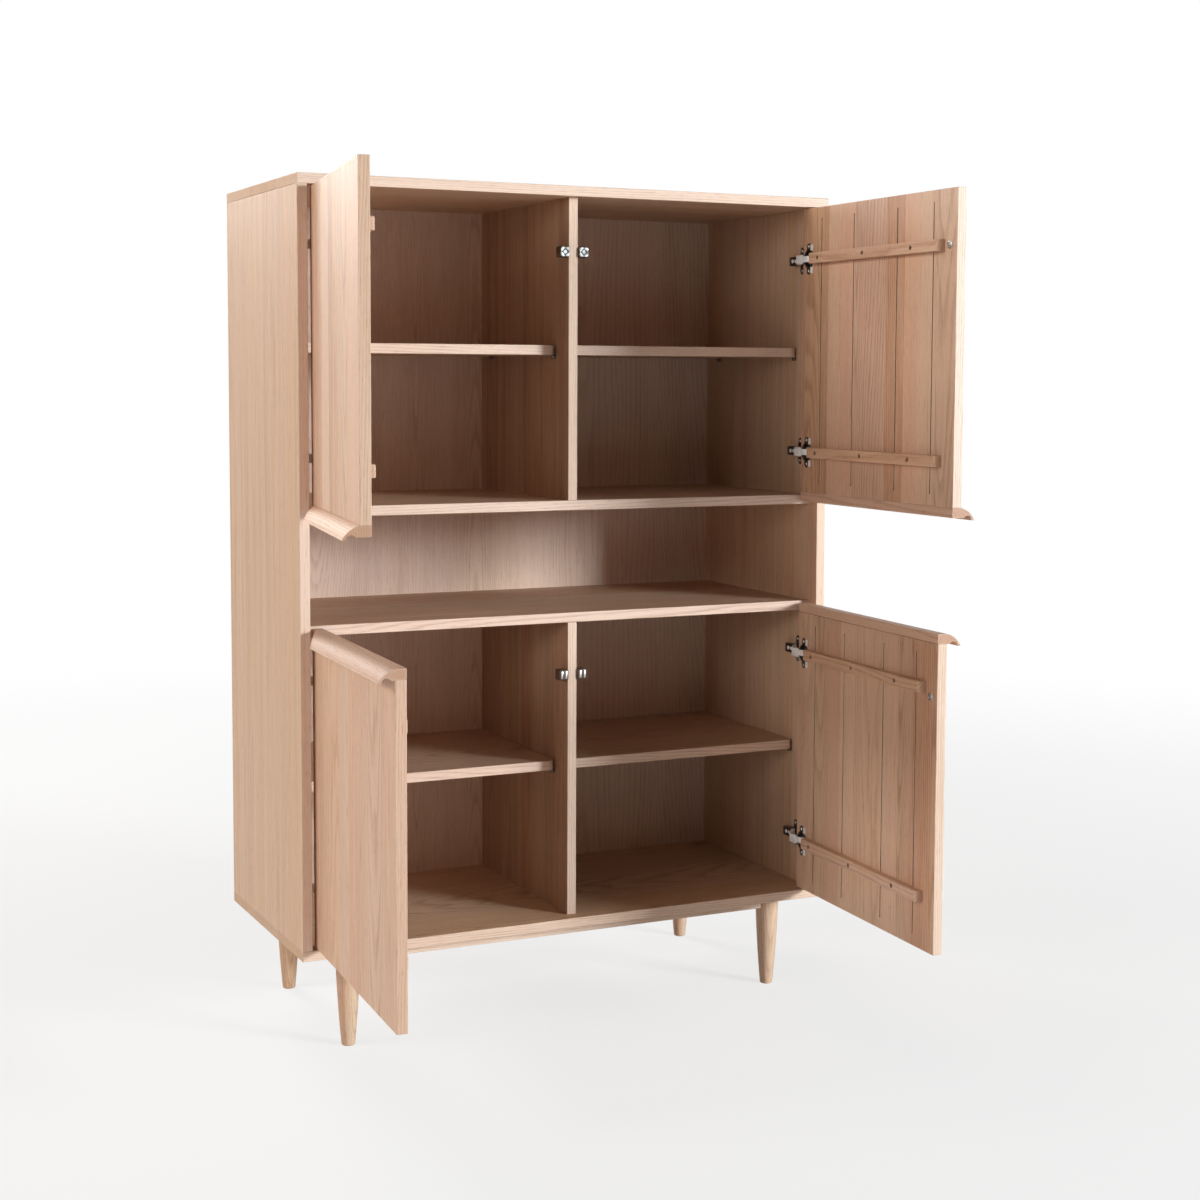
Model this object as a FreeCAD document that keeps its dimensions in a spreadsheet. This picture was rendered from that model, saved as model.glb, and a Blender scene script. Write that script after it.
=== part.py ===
"""Tall storage cabinet in oak: four inset doors, an open niche between them and four turned legs.

The origin is on the floor, in the middle of the case. X runs along the width, the front faces -Y and Z is up.
The doors stand open, as they are shown: each is made closed about its own hinge line and then turned by its
Placement.
"""

import FreeCAD, Part
import math
import os
import re

import Sketcher

# Driving sizes in millimetres, turns in degrees and counts
SIZES = {
    # The case
    "case_width": 1100,
    "case_depth": 470,
    "case_height": 1600,
    "top_thickness": 19,
    "bottom_thickness": 19,
    "side_thickness": 19,
    "fixed_shelf_thickness": 19,
    "divider_thickness": 19,
    "back_thickness": 6,
    "back_rebate": 9,
    "back_fit": 0.5,
    "niche_height": 197,
    "niche_floor_reveal": 4,
    "niche_ceiling_reveal": 6,
    "frame_gap_behind_door": 9,
    "arris": 1.2,
    "overrun": 5,
    # Dowels that join the case
    "dowel_radius": 4,
    "dowel_in_panel": 12,
    "dowel_in_edge": 20,
    "dowel_end_inset": 70,
    # Adjustable shelves and their pins
    "shelf_thickness": 19,
    "shelf_end_gap": 1.5,
    "shelf_back_gap": 3,
    "shelf_behind_frame": 49,
    "shelf_corner_radius": 18,
    "pin_radius": 2.5,
    "pin_in_wall": 8,
    "pin_head_radius": 3.5,
    "pin_head_length": 8,
    "front_pin_inset": 12,
    "rear_pin_inset": 55,
    # Legs and the rails between them
    "leg_length": 180,
    "leg_top_radius": 23.5,
    "leg_foot_radius": 12.5,
    "leg_curve_rise": 1.6,
    "leg_foot_rounding": 3,
    "leg_inset_side": 100,
    "leg_inset_depth": 45,
    "leg_bolt_radius": 4,
    "leg_bolt_in_leg": 36,
    "leg_bolt_in_case": 14,
    "base_rail_height": 20,
    "base_rail_thickness": 22,
    "base_rail_cope_gap": 0.2,
    # Doors
    "door_thickness": 19,
    "door_side_gap": 2.5,
    "door_meeting_gap": 3,
    "door_end_gap": 2.5,
    "kerf_width": 3,
    "kerf_depth": 5,
    "kerf_end_margin": 22,
    # Hinge line of each door, and how far each door stands open
    "pivot_from_side": 15,
    "pivot_behind_front": 6.5,
    "upper_left_open_angle": 99.4,
    "upper_right_open_angle": 89.3,
    "lower_left_open_angle": 93.3,
    "lower_right_open_angle": 86.5,
    # Pull rail with its finger lip
    "pull_rail_height": 18,
    "lip_reach": 28,
    "lip_drop": 4.5,
    "lip_tip_width": 5.5,
    "lip_root_width": 6,
    "lip_curve_rise": 4.1,
    "lip_groove_rise": 6.2,
    "lip_tip_rounding": 2.5,
    "lip_cut_start": 25,
    "lip_cut_end": 96,
    # Battens on the inner face of each door
    "batten_start": 46,
    "batten_free_end": 37,
    "batten_height": 21,
    "batten_thickness": 15,
    "batten_end_radius": 12,
    "batten_door_inset": 100,
    "batten_screw_inset": 31,
    "batten_screw_end_inset": 88,
    "batten_screw_bore_radius": 4.5,
    "batten_screw_bore_depth": 6,
    "batten_screw_head_radius": 3.75,
    "batten_screw_head_height": 3,
    "batten_screw_radius": 2,
    "batten_screw_in_door": 12,
    # Concealed hinge: the cup in the door
    "cup_radius": 17.5,
    "cup_fit": 0.1,
    "cup_depth": 11.5,
    "cup_wall": 1,
    "cup_edge_distance": 5,
    "flange_thickness": 1.2,
    "flange_overlap": 1.5,
    "flange_ear_radius": 7,
    "flange_bar_from_centre": 7,
    "flange_bar_width": 8,
    "flange_bar_length": 57,
    "cup_screw_spacing": 48,
    "cup_screw_head_radius": 3.5,
    "cup_screw_head_height": 1.5,
    "cup_screw_radius": 1.75,
    "cup_screw_in_door": 12,
    # Concealed hinge: the plate on the side panel and the arm on it
    "plate_behind_front": 66,
    "plate_wing_span": 54,
    "plate_wing_width": 11,
    "plate_wing_thickness": 2,
    "plate_core_length": 38,
    "plate_core_height": 5,
    "plate_screw_spacing": 40,
    "plate_screw_head_radius": 4,
    "plate_screw_head_height": 1.6,
    "plate_screw_radius": 2,
    "plate_screw_in_side": 13,
    "arm_width": 17,
    "arm_height": 8,
    "arm_back": 95,
    "arm_front": 62,
    "arm_neck_front": 34,
    "arm_neck_width": 5,
    "arm_nose_thickness": 3,
    "arm_nose_from_side": 35,
    "arm_nose_behind_front": 11,
    # Concealed hinge: the curved link in the cup, which turns round the hinge line
    "link_running_gap": 0.3,
    "link_thickness": 2.8,
    "link_width": 12,
    "link_start_angle": 5,
    "link_end_angle": 118,
    # Magnetic catches on the dividers and their strike plates
    "catch_width": 20,
    "catch_height": 21,
    "catch_depth": 22,
    "catch_rounding": 3,
    "catch_gap": 0.6,
    "catch_from_door_end": 100,
    "lower_catch_drop": 16,
    "pole_width": 4,
    "pole_height": 14,
    "pole_spacing": 9,
    "pole_depth": 12,
    "pole_proud": 0.8,
    "strike_radius": 7,
    "strike_thickness": 1.8,
    "strike_edge_distance": 21.5,
    "strike_screw_head_radius": 3,
    "strike_screw_head_height": 1,
    "strike_screw_radius": 1.5,
    "strike_screw_in_door": 11,
}

# Sizes worked out from the driving ones, in the order in which they build on each other
DERIVED = {
    "front": "-case_depth / 2",
    "rear": "case_depth / 2",
    "inner_half_width": "case_width / 2 - side_thickness",
    "side_height": "case_height - leg_length - bottom_thickness - top_thickness",
    "floor_top": "leg_length + bottom_thickness",
    "ceiling": "case_height - top_thickness",
    "back_face": "rear - back_thickness",
    "frame_front": "front + door_thickness + frame_gap_behind_door",
    "frame_depth": "back_face - frame_front",
    "door_closed_height": "side_height - 2 * door_end_gap - niche_floor_reveal - niche_ceiling_reveal",
    "door_height": "(door_closed_height - niche_height) / 2",
    "door_width": "inner_half_width - door_side_gap - door_meeting_gap / 2",
    "door_board_height": "door_height - pull_rail_height",
    "lower_door_bottom": "floor_top + door_end_gap",
    "lower_door_top": "lower_door_bottom + door_height",
    "niche_floor": "lower_door_top + niche_floor_reveal",
    "niche_ceiling": "niche_floor + niche_height",
    "niche_floor_underside": "niche_floor - fixed_shelf_thickness",
    "upper_floor": "niche_ceiling + fixed_shelf_thickness",
    "upper_door_bottom": "niche_ceiling + niche_ceiling_reveal",
    "upper_door_top": "upper_door_bottom + door_height",
    "bay_width": "inner_half_width - divider_thickness / 2",
    "shelf_front": "frame_front + shelf_behind_frame",
    "shelf_width": "bay_width - 2 * shelf_end_gap",
    "shelf_depth": "back_face - shelf_back_gap - shelf_front",
    "lower_shelf_underside": "(floor_top + niche_floor_underside - shelf_thickness) / 2",
    "upper_shelf_underside": "(upper_floor + ceiling - shelf_thickness) / 2",
    "leg_x": "case_width / 2 - leg_inset_side",
    "leg_y": "case_depth / 2 - leg_inset_depth",
    "leg_curve_span": "sqrt((leg_top_radius - leg_foot_radius) ^ 2 + leg_length ^ 2)",
    "leg_curve_radius": "(leg_curve_span ^ 2 / 4 + leg_curve_rise ^ 2) / (2 * leg_curve_rise)",
    "hinge_x": "inner_half_width - pivot_from_side",
    "hinge_y": "front + pivot_behind_front",
    "hinge_edge": "pivot_from_side - door_side_gap",
    "door_inner_face": "door_thickness - pivot_behind_front",
    "batten_length": "door_width - batten_start - batten_free_end",
    "batten_screw_span": "batten_length - batten_screw_inset - batten_screw_end_inset",
    "rail_inner_line": "lip_reach + door_thickness",
    "rail_root_line": "lip_reach - lip_root_width",
    "rail_top_line": "lip_drop + pull_rail_height",
    "lip_curve_span": "sqrt(lip_reach ^ 2 + rail_top_line ^ 2)",
    "lip_curve_radius": "(lip_curve_span ^ 2 / 4 + lip_curve_rise ^ 2) / (2 * lip_curve_rise)",
    "lip_groove_span": "sqrt((rail_root_line - lip_tip_width) ^ 2 + lip_drop ^ 2)",
    "lip_groove_radius": "(lip_groove_span ^ 2 / 4 + lip_groove_rise ^ 2) / (2 * lip_groove_rise)",
    "cup_from_hinge_edge": "cup_edge_distance + cup_radius",
    "nose_near_x": "arm_nose_from_side - arm_nose_thickness - pivot_from_side",
    "nose_near_y": "arm_nose_behind_front - pivot_behind_front",
    "link_radius": "sqrt(nose_near_x ^ 2 + nose_near_y ^ 2) - link_running_gap",
    "catch_face": "front + door_thickness + strike_thickness + catch_gap",
    "catch_half_height": "catch_height / 2",
    "catch_centre": "divider_thickness / 2 + catch_width / 2",
}

# Places along a door that follow its width
KERF_SHARES = (0.133, 0.357, 0.641, 0.863)
BATTEN_SCREW_COUNT = 3

# Smallest difference that counts when an edge is picked by its place
TOUCHING = 0.01

LEFT, RIGHT = -1, 1

# The sketcher's numbers for the two ends of a line
START, END = 1, 2
WORDS = re.compile(r"\b(" + "|".join(list(SIZES) + list(DERIVED)) + r")\b")

# Turns that lay a cylinder, made along Z, on another axis
ALONG_X = FreeCAD.Rotation(FreeCAD.Vector(0, 1, 0), 90)
ALONG_Y = FreeCAD.Rotation(FreeCAD.Vector(1, 0, 0), -90)
ALONG_Z = FreeCAD.Rotation()

doc = FreeCAD.newDocument("tall_storage_cabinet")


def sheet_word(match):
    """Gives a size's full name, with the sheet that holds it."""
    word = match.group(1)
    return ("sizes." if word in SIZES else "derived.") + word


def make_sheets():
    """Writes the driving sizes as plain numbers and the derived ones as formulas."""
    sizes = doc.addObject("Spreadsheet::Sheet", "sizes")
    for row, (word, value) in enumerate(SIZES.items(), 1):
        sizes.set(f"A{row}", str(value))
        sizes.setAlias(f"A{row}", word)
    derived = doc.addObject("Spreadsheet::Sheet", "derived")
    for row, (word, formula) in enumerate(DERIVED.items(), 1):
        own = re.sub(r"\bderived\.", "", WORDS.sub(sheet_word, formula))
        derived.set(f"A{row}", "=" + own)
        derived.setAlias(f"A{row}", word)
    doc.recompute()


def number(word):
    """Reads one size from the sheets."""
    return 0.0 if word == "0" else float(doc.getObject("sizes" if word in SIZES else "derived").get(word))


def bind(item, formulas):
    """Ties an object's properties to the sheets."""
    for name, formula in formulas.items():
        item.setExpression(name, WORDS.sub(sheet_word, formula))
    return item


def place(item, x="0", y="0", z="0"):
    """Ties an object's place to the sheets."""
    return bind(item, {"Placement.Base.x": x, "Placement.Base.y": y, "Placement.Base.z": z})


def new_body(label):
    """Starts a PartDesign body."""
    body = doc.addObject("PartDesign::Body", label)
    body.Label = label
    return body


def body_box(body, kind, size, corner=("0", "0", "0")):
    """Adds or takes away a box in a body."""
    box = body.newObject(f"PartDesign::{kind}Box", f"{body.Name}_box")
    bind(box, dict(zip(("Length", "Width", "Height"), size)))
    return place(box, *corner)


def body_cylinder(body, kind, radius, height, start, turn=ALONG_Z):
    """Adds or takes away a cylinder in a body."""
    cylinder = body.newObject(f"PartDesign::{kind}Cylinder", f"{body.Name}_cylinder")
    cylinder.Placement.Rotation = turn
    bind(cylinder, {"Radius": radius, "Height": height})
    return place(cylinder, *start)


def ease(body, feature, radius="arris", edges=None):
    """Rounds a body's edges: all of them, or those named."""
    fillet = body.newObject("PartDesign::Fillet", f"{body.Name}_ease")
    fillet.Base = (feature, edges or ["Edge1"])
    fillet.UseAllEdges = edges is None
    return bind(fillet, {"Radius": radius})


def edge_names(feature, test):
    """Names the edges of a feature whose box passes the test, given the whole feature's box."""
    feature.recompute()
    whole = feature.Shape.BoundBox
    return [f"Edge{n}" for n, edge in enumerate(feature.Shape.Edges, 1) if test(edge.BoundBox, whole)]


def board(label, size, corner):
    """Makes a flat board with eased edges, its low corner at the given place."""
    body = new_body(label)
    ease(body, body_box(body, "Additive", size))
    return place(body, *corner)


def cylinder(radius, height, start, turn=ALONG_Z):
    """Makes a loose cylinder, for screws, dowels and pins."""
    item = doc.addObject("Part::Cylinder", "cylinder")
    item.Placement.Rotation = turn
    bind(item, {"Radius": radius, "Height": height})
    return place(item, *start)


def block(size, corner):
    """Makes a loose box."""
    item = doc.addObject("Part::Box", "block")
    bind(item, dict(zip(("Length", "Width", "Height"), size)))
    return place(item, *corner)


def fuse(items):
    """Joins touching shapes into one piece."""
    joined = doc.addObject("Part::MultiFuse", "piece")
    joined.Shapes = items
    joined.Refine = True
    return joined


def group(label, items):
    """Holds separate pieces of one kind together."""
    held = doc.addObject("Part::Compound", label)
    held.Label = label
    held.Links = items
    return held


def cut(label, base, tool):
    """Takes one shape out of another."""
    left = doc.addObject("Part::Cut", label)
    left.Label = label
    left.Base = base
    left.Tool = tool
    return left


def outline(body, plane, corners):
    """Draws a closed outline. A corner is a pair of sizes; a radius and a bulge after them make an arc."""
    sketch = body.newObject("Sketcher::SketchObject", f"{body.Name}_outline")
    face = next(item for item in body.Origin.OriginFeatures if item.Role == plane)
    sketch.AttachmentSupport = [(face, "")]
    sketch.MapMode = "FlatFace"
    points = [FreeCAD.Vector(number(x), number(y), 0) for x, y, *arc in corners]
    ends = points[1:] + points[:1]
    for (x, y, *arc), start, end in zip(corners, points, ends):
        if arc:
            sketch.addGeometry(Part.Arc(start, arc_middle(start, end, *arc), end))
        else:
            sketch.addGeometry(Part.LineSegment(start, end))
    first = [near_end(sketch, n, point) for n, point in enumerate(points)]
    last = [near_end(sketch, n, point) for n, point in enumerate(ends)]
    for n, (x, y, *arc) in enumerate(corners):
        before = (n - 1) % len(corners)
        sketch.addConstraint(Sketcher.Constraint("Coincident", before, last[before], n, first[n]))
        fix_point(sketch, n, first[n], "DistanceX", x, -2)
        fix_point(sketch, n, first[n], "DistanceY", y, -1)
        if arc:
            index = sketch.addConstraint(Sketcher.Constraint("Radius", n, number(arc[0])))
            bind(sketch, {f"Constraints[{index}]": arc[0]})
    return sketch


def arc_middle(start, end, word, bulge):
    """Gives the middle of a short arc between two points, which bulges LEFT or RIGHT of the way."""
    radius, chord = number(word), end - start
    rise = radius - math.sqrt(radius ** 2 - (chord.Length / 2) ** 2)
    across = FreeCAD.Vector(chord.y, -chord.x, 0).normalize()
    return (start + end) / 2 + across * rise * bulge


def near_end(sketch, line, point):
    """Says which end of a line or arc lies at a point, because an arc always runs anticlockwise."""
    return min(START, END, key=lambda end: (sketch.getPoint(line, end) - point).Length)


def fix_point(sketch, line, end, kind, word, axis):
    """Holds one coordinate of a corner at a size, or on the axis where it is zero."""
    if word == "0":
        sketch.addConstraint(Sketcher.Constraint("PointOnObject", line, end, axis))
        return
    index = sketch.addConstraint(Sketcher.Constraint(kind, -1, 1, line, end, number(word)))
    bind(sketch, {f"Constraints[{index}]": word})


# The case

def make_case_boards():
    """Makes the boards of the case before their dowel, pin and screw holes."""
    rebate = ("case_width - 2 * (side_thickness - back_rebate)", "back_thickness", "back_rebate + overrun")
    rebate_x = "side_thickness - back_rebate"
    top = new_body("top_panel_board")
    ease(top, body_box(top, "Additive", ("case_width", "case_depth", "top_thickness")))
    body_box(top, "Subtractive", rebate, (rebate_x, "case_depth - back_thickness", "-overrun"))
    place(top, "-case_width / 2", "front", "ceiling")
    bottom = new_body("bottom_panel_board")
    ease(bottom, body_box(bottom, "Additive", ("case_width", "case_depth", "bottom_thickness")))
    low = "bottom_thickness - back_rebate"
    body_box(bottom, "Subtractive", rebate, (rebate_x, "case_depth - back_thickness", low))
    place(bottom, "-case_width / 2", "front", "leg_length")
    sides = {}
    for name, side in (("left", LEFT), ("right", RIGHT)):
        panel = new_body(f"{name}_side_panel_board")
        ease(panel, body_box(panel, "Additive", ("side_thickness", "case_depth", "side_height")))
        groove_x = "side_thickness - back_rebate" if side == LEFT else "-overrun"
        groove = ("back_rebate + overrun", "back_thickness", "side_height + 2 * overrun")
        body_box(panel, "Subtractive", groove, (groove_x, "case_depth - back_thickness", "-overrun"))
        place(panel, "-case_width / 2" if side == LEFT else "inner_half_width", "front", "floor_top")
        sides[name] = panel
    return top, bottom, sides["left"], sides["right"]


def make_frame_boards():
    """Makes the fixed shelves above and below the niche and the upright dividers."""
    shelf = ("2 * inner_half_width", "frame_depth", "fixed_shelf_thickness")
    niche_top = board("niche_top_shelf_board", shelf, ("-inner_half_width", "frame_front", "niche_ceiling"))
    low = ("-inner_half_width", "frame_front", "niche_floor_underside")
    niche_floor = board("niche_floor_shelf_board", shelf, low)
    upper = ("divider_thickness", "frame_depth", "ceiling - upper_floor")
    left_face = "-divider_thickness / 2"
    upper_divider = board("upper_divider_board", upper, (left_face, "frame_front", "upper_floor"))
    lower = ("divider_thickness", "frame_depth", "niche_floor_underside - floor_top")
    lower_divider = board("lower_divider_board", lower, (left_face, "frame_front", "floor_top"))
    return niche_top, niche_floor, upper_divider, lower_divider


def make_back_panel():
    """Makes the thin back, which lies in the rebates of the case."""
    width = "2 * (inner_half_width + back_rebate - back_fit)"
    height = "side_height + 2 * (back_rebate - back_fit)"
    body = new_body("back_panel")
    body_box(body, "Additive", (width, "back_thickness", height))
    left_edge = "-(inner_half_width + back_rebate - back_fit)"
    return place(body, left_edge, "back_face", "floor_top - back_rebate + back_fit")


def dowel_rows():
    """Gives the depths of the three dowels in each joint."""
    near, far = "frame_front + dowel_end_inset", "back_face - dowel_end_inset"
    return near, f"({near} + {far}) / 2", far


def make_dowels():
    """Makes the wooden dowels that join the boards."""
    length = "dowel_in_panel + dowel_in_edge"
    side_line = "(case_width / 2 - side_thickness / 2)"
    dowels = []
    for y in dowel_rows():
        for x in (f"-{side_line}", side_line, "0"):
            dowels.append(cylinder("dowel_radius", length, (x, y, "ceiling - dowel_in_edge")))
            dowels.append(cylinder("dowel_radius", length, (x, y, "floor_top - dowel_in_panel")))
        dowels.append(cylinder("dowel_radius", length, ("0", y, "upper_floor - dowel_in_panel")))
        dowels.append(cylinder("dowel_radius", length, ("0", y, "niche_floor_underside - dowel_in_edge")))
        for shelf in ("niche_ceiling", "niche_floor_underside"):
            z = f"{shelf} + fixed_shelf_thickness / 2"
            for x in ("-inner_half_width - dowel_in_panel", "inner_half_width - dowel_in_edge"):
                dowels.append(cylinder("dowel_radius", length, (x, y, z), ALONG_X))
    return group("carcass_dowels", dowels)


def make_shelves():
    """Makes the four adjustable shelves, each with rounded front corners."""
    shelves = []
    for level in ("upper", "lower"):
        for name, side in (("left", LEFT), ("right", RIGHT)):
            body = new_body(f"{level}_{name}_shelf")
            slab = body_box(body, "Additive", ("shelf_width", "shelf_depth", "shelf_thickness"))
            corners = edge_names(slab, lambda edge, whole: edge.YMax - whole.YMin < TOUCHING < edge.ZLength)
            rounded = ease(body, slab, "shelf_corner_radius", corners)
            rims = edge_names(rounded, lambda edge, whole: edge.ZLength < TOUCHING)
            ease(body, rounded, "arris", rims)
            x = "divider_thickness / 2 + shelf_end_gap"
            x = f"-({x} + shelf_width)" if side == LEFT else x
            place(body, x, "shelf_front", f"{level}_shelf_underside")
            shelves.append(body)
    return shelves


def make_shelf_pins():
    """Makes the pins under the adjustable shelves, four to a shelf."""
    pins = []
    for level in ("upper", "lower"):
        z = f"{level}_shelf_underside - pin_head_radius"
        for y in ("shelf_front + front_pin_inset", "back_face - shelf_back_gap - rear_pin_inset"):
            for wall, way in (("-inner_half_width", 1), ("-divider_thickness / 2", -1),
                              ("divider_thickness / 2", 1), ("inner_half_width", -1)):
                in_wall = f"{wall} - pin_in_wall" if way > 0 else wall
                head = wall if way > 0 else f"{wall} - pin_head_length"
                pins.append(fuse([
                    cylinder("pin_radius", "pin_in_wall", (in_wall, y, z), ALONG_X),
                    cylinder("pin_head_radius", "pin_head_length", (head, y, z), ALONG_X),
                ]))
    return group("shelf_pins", pins)


# The legs and the rails between them

LEG_PLACES = {
    "front_left": ("-leg_x", "-leg_y"),
    "front_right": ("leg_x", "-leg_y"),
    "rear_left": ("-leg_x", "leg_y"),
    "rear_right": ("leg_x", "leg_y"),
}


def make_leg_blank(name, x, y):
    """Turns one leg: a slightly bellied taper with a rounded foot."""
    body = new_body(f"{name}_leg_blank")
    corners = (
        ("0", "0"),
        ("leg_foot_radius", "0", "leg_curve_radius", RIGHT),
        ("leg_top_radius", "leg_length"),
        ("0", "leg_length"),
    )
    sketch = outline(body, "XZ_Plane", corners)
    turned = body.newObject("PartDesign::Revolution", f"{body.Name}_turned")
    turned.Profile = sketch
    turned.ReferenceAxis = (sketch, ["V_Axis"])
    turned.Angle = 360
    foot = edge_names(turned, lambda edge, whole: edge.ZMax - whole.ZMin < TOUCHING < edge.XLength)
    ease(body, turned, "leg_foot_rounding", foot)
    return place(body, x, y)


def make_base_rail(row, y):
    """Makes one rail under the case, coped round the heads of the two legs that it runs between."""
    body = new_body(f"{row}_base_rail")
    half = "(leg_x - leg_top_radius / 2)"
    size = (f"2 * {half}", "base_rail_thickness", "base_rail_height")
    ease(body, body_box(body, "Additive", size, (f"-{half}", "-base_rail_thickness / 2", "0")))
    for x in ("-leg_x", "leg_x"):
        cope = ("leg_top_radius + base_rail_cope_gap", "base_rail_height + 2 * overrun")
        body_cylinder(body, "Subtractive", *cope, (x, "0", "-overrun"))
    return place(body, "0", y, "leg_length - base_rail_height")


def make_legs():
    """Makes the legs, the threaded studs that hold them and the rails between them."""
    blanks = {name: make_leg_blank(name, x, y) for name, (x, y) in LEG_PLACES.items()}
    length = "leg_bolt_in_leg + leg_bolt_in_case"
    start = "leg_length - leg_bolt_in_leg"
    bolts = [cylinder("leg_bolt_radius", length, (x, y, start)) for x, y in LEG_PLACES.values()]
    studs = group("leg_studs", bolts)
    legs = [cut(f"{name}_leg", blank, studs) for name, blank in blanks.items()]
    rails = [make_base_rail(row, y) for row, y in (("front", "-leg_y"), ("rear", "leg_y"))]
    return legs, studs, rails


# The doors

DOORS = {
    "upper_left": (LEFT, "upper_door_bottom"),
    "upper_right": (RIGHT, "upper_door_bottom"),
    "lower_left": (LEFT, "lower_door_bottom"),
    "lower_right": (RIGHT, "lower_door_bottom"),
}


def hang(item, name):
    """Puts a piece of a door, made closed about the hinge line, where the open door stands."""
    side = DOORS[name][0]
    angle = {"Placement.Rotation.Angle": f"{side} * {name}_open_angle * 1 deg"}
    return bind(place(item, f"{side} * hinge_x", "hinge_y"), angle)


def along(side, start, length="0"):
    """Gives the low X of a stretch of a door that starts a distance from its hinge edge."""
    if side == LEFT:
        return f"-hinge_edge + {start}"
    return f"hinge_edge - ({start}) - ({length})"


def board_bottom(name):
    """Gives the height at which a door's board starts: above the pull rail on the upper doors."""
    bottom = DOORS[name][1]
    return f"{bottom} + pull_rail_height" if name.startswith("upper") else bottom


def hinge_heights(name):
    """Gives the heights of a door's two hinges, which are those of its battens."""
    bottom = DOORS[name][1]
    return f"{bottom} + door_height - batten_door_inset", f"{bottom} + batten_door_inset"


def strike_height(name):
    """Gives the height of a door's strike plate and its catch."""
    height = f"{DOORS[name][1]} + door_height - catch_from_door_end"
    return height if name.startswith("upper") else f"{height} - lower_catch_drop"


def make_door_board(name, side):
    """Makes the door's solid board with its stopped saw kerfs and its hinge bores."""
    body = new_body(f"{name}_door_board")
    bottom = board_bottom(name)
    corner = (along(side, "0", "door_width"), "-pivot_behind_front", bottom)
    ease(body, body_box(body, "Additive", ("door_width", "door_thickness", "door_board_height"), corner))
    for share in KERF_SHARES:
        size = ("kerf_width", "kerf_depth + overrun", "door_board_height - 2 * kerf_end_margin")
        x = along(side, f"{share} * door_width - kerf_width / 2", "kerf_width")
        start = (x, "door_inner_face - kerf_depth", f"{bottom} + kerf_end_margin")
        body_box(body, "Subtractive", size, start)
    for z in hinge_heights(name):
        start = (along(side, "cup_from_hinge_edge"), "door_inner_face - cup_depth", z)
        body_cylinder(body, "Subtractive", "cup_radius + cup_fit", "cup_depth + overrun", start, ALONG_Y)
    return hang(body, name)


def make_pull_rail(name, side):
    """Makes the rail with the finger lip: a convex top, a rounded tip and a groove under it."""
    body = new_body(f"{name}_pull_rail")
    corners = (
        ("rail_inner_line", "lip_drop"),
        ("rail_inner_line", "rail_top_line"),
        ("lip_reach", "rail_top_line", "lip_curve_radius", RIGHT),
        ("0", "0"),
        ("lip_tip_width", "0", "lip_groove_radius", LEFT),
        ("rail_root_line", "lip_drop"),
    )
    sketch = outline(body, "YZ_Plane", corners)
    bottom = DOORS[name][1] if name.startswith("upper") else f"{DOORS[name][1]} + door_board_height"
    bind(sketch, {
        "AttachmentOffset.Base.x": "-pivot_behind_front - lip_reach",
        "AttachmentOffset.Base.y": f"{bottom} - lip_drop",
        "AttachmentOffset.Base.z": along(side, "0", "door_width"),
    })
    rail = body.newObject("PartDesign::Pad", f"{body.Name}_length")
    rail.Profile = sketch
    bind(rail, {"Length": "door_width"})
    tip = edge_names(rail, lambda edge, whole: edge.YMax - whole.YMin < TOUCHING < edge.XLength)
    ease(body, rail, "lip_tip_rounding", tip)
    slope = body.newObject("PartDesign::SubtractiveWedge", f"{body.Name}_slope")
    far = ("lip_cut_end", "lip_cut_start")
    near = ("-overrun", "-overrun")
    if side == RIGHT:
        near, far = tuple(f"-({word})" for word in far), ("overrun", "overrun")
    bind(slope, {
        "Xmin": near[0], "X2min": near[1], "Xmax": far[0], "X2max": far[1],
        "Ymin": "-lip_reach", "Ymax": "0", "Zmin": "0", "Z2min": "0",
        "Zmax": "rail_top_line + 2 * overrun", "Z2max": "rail_top_line + 2 * overrun",
    })
    place(slope, along(side, "0"), "-pivot_behind_front", f"{bottom} - lip_drop - overrun")
    return hang(body, name)


def batten_screw_place(n):
    """Gives how far one of a batten's evenly spaced screws lies from the hinge edge."""
    return f"batten_start + batten_screw_inset + {n} * batten_screw_span / {BATTEN_SCREW_COUNT - 1}"


def make_battens(name, side):
    """Makes the two battens on the inner face, rounded at the free end, with sunk screw holes."""
    battens = {}
    for level, z in zip(("upper", "lower"), hinge_heights(name)):
        body = new_body(f"{name}_{level}_batten_bar")
        low = f"{z} - batten_height / 2"
        corner = (along(side, "batten_start", "batten_length"), "door_inner_face", low)
        bar = body_box(body, "Additive", ("batten_length", "batten_thickness", "batten_height"), corner)

        def at_free_end(edge, whole):
            free = edge.XMin > whole.XMax - TOUCHING if side == LEFT else edge.XMax < whole.XMin + TOUCHING
            return free and edge.YMin > whole.YMax - TOUCHING

        rounded = ease(body, bar, "batten_end_radius", edge_names(bar, at_free_end))
        rims = edge_names(rounded, lambda edge, whole: edge.YMin > whole.YMax - TOUCHING < edge.XLength)
        ease(body, rounded, "arris", rims)
        for n in range(BATTEN_SCREW_COUNT):
            x = along(side, batten_screw_place(n))
            start = (x, "door_inner_face + batten_thickness - batten_screw_bore_depth", z)
            depth = "batten_screw_bore_depth + overrun"
            body_cylinder(body, "Subtractive", "batten_screw_bore_radius", depth, start, ALONG_Y)
        battens[level] = hang(body, name)
    return battens


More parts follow.
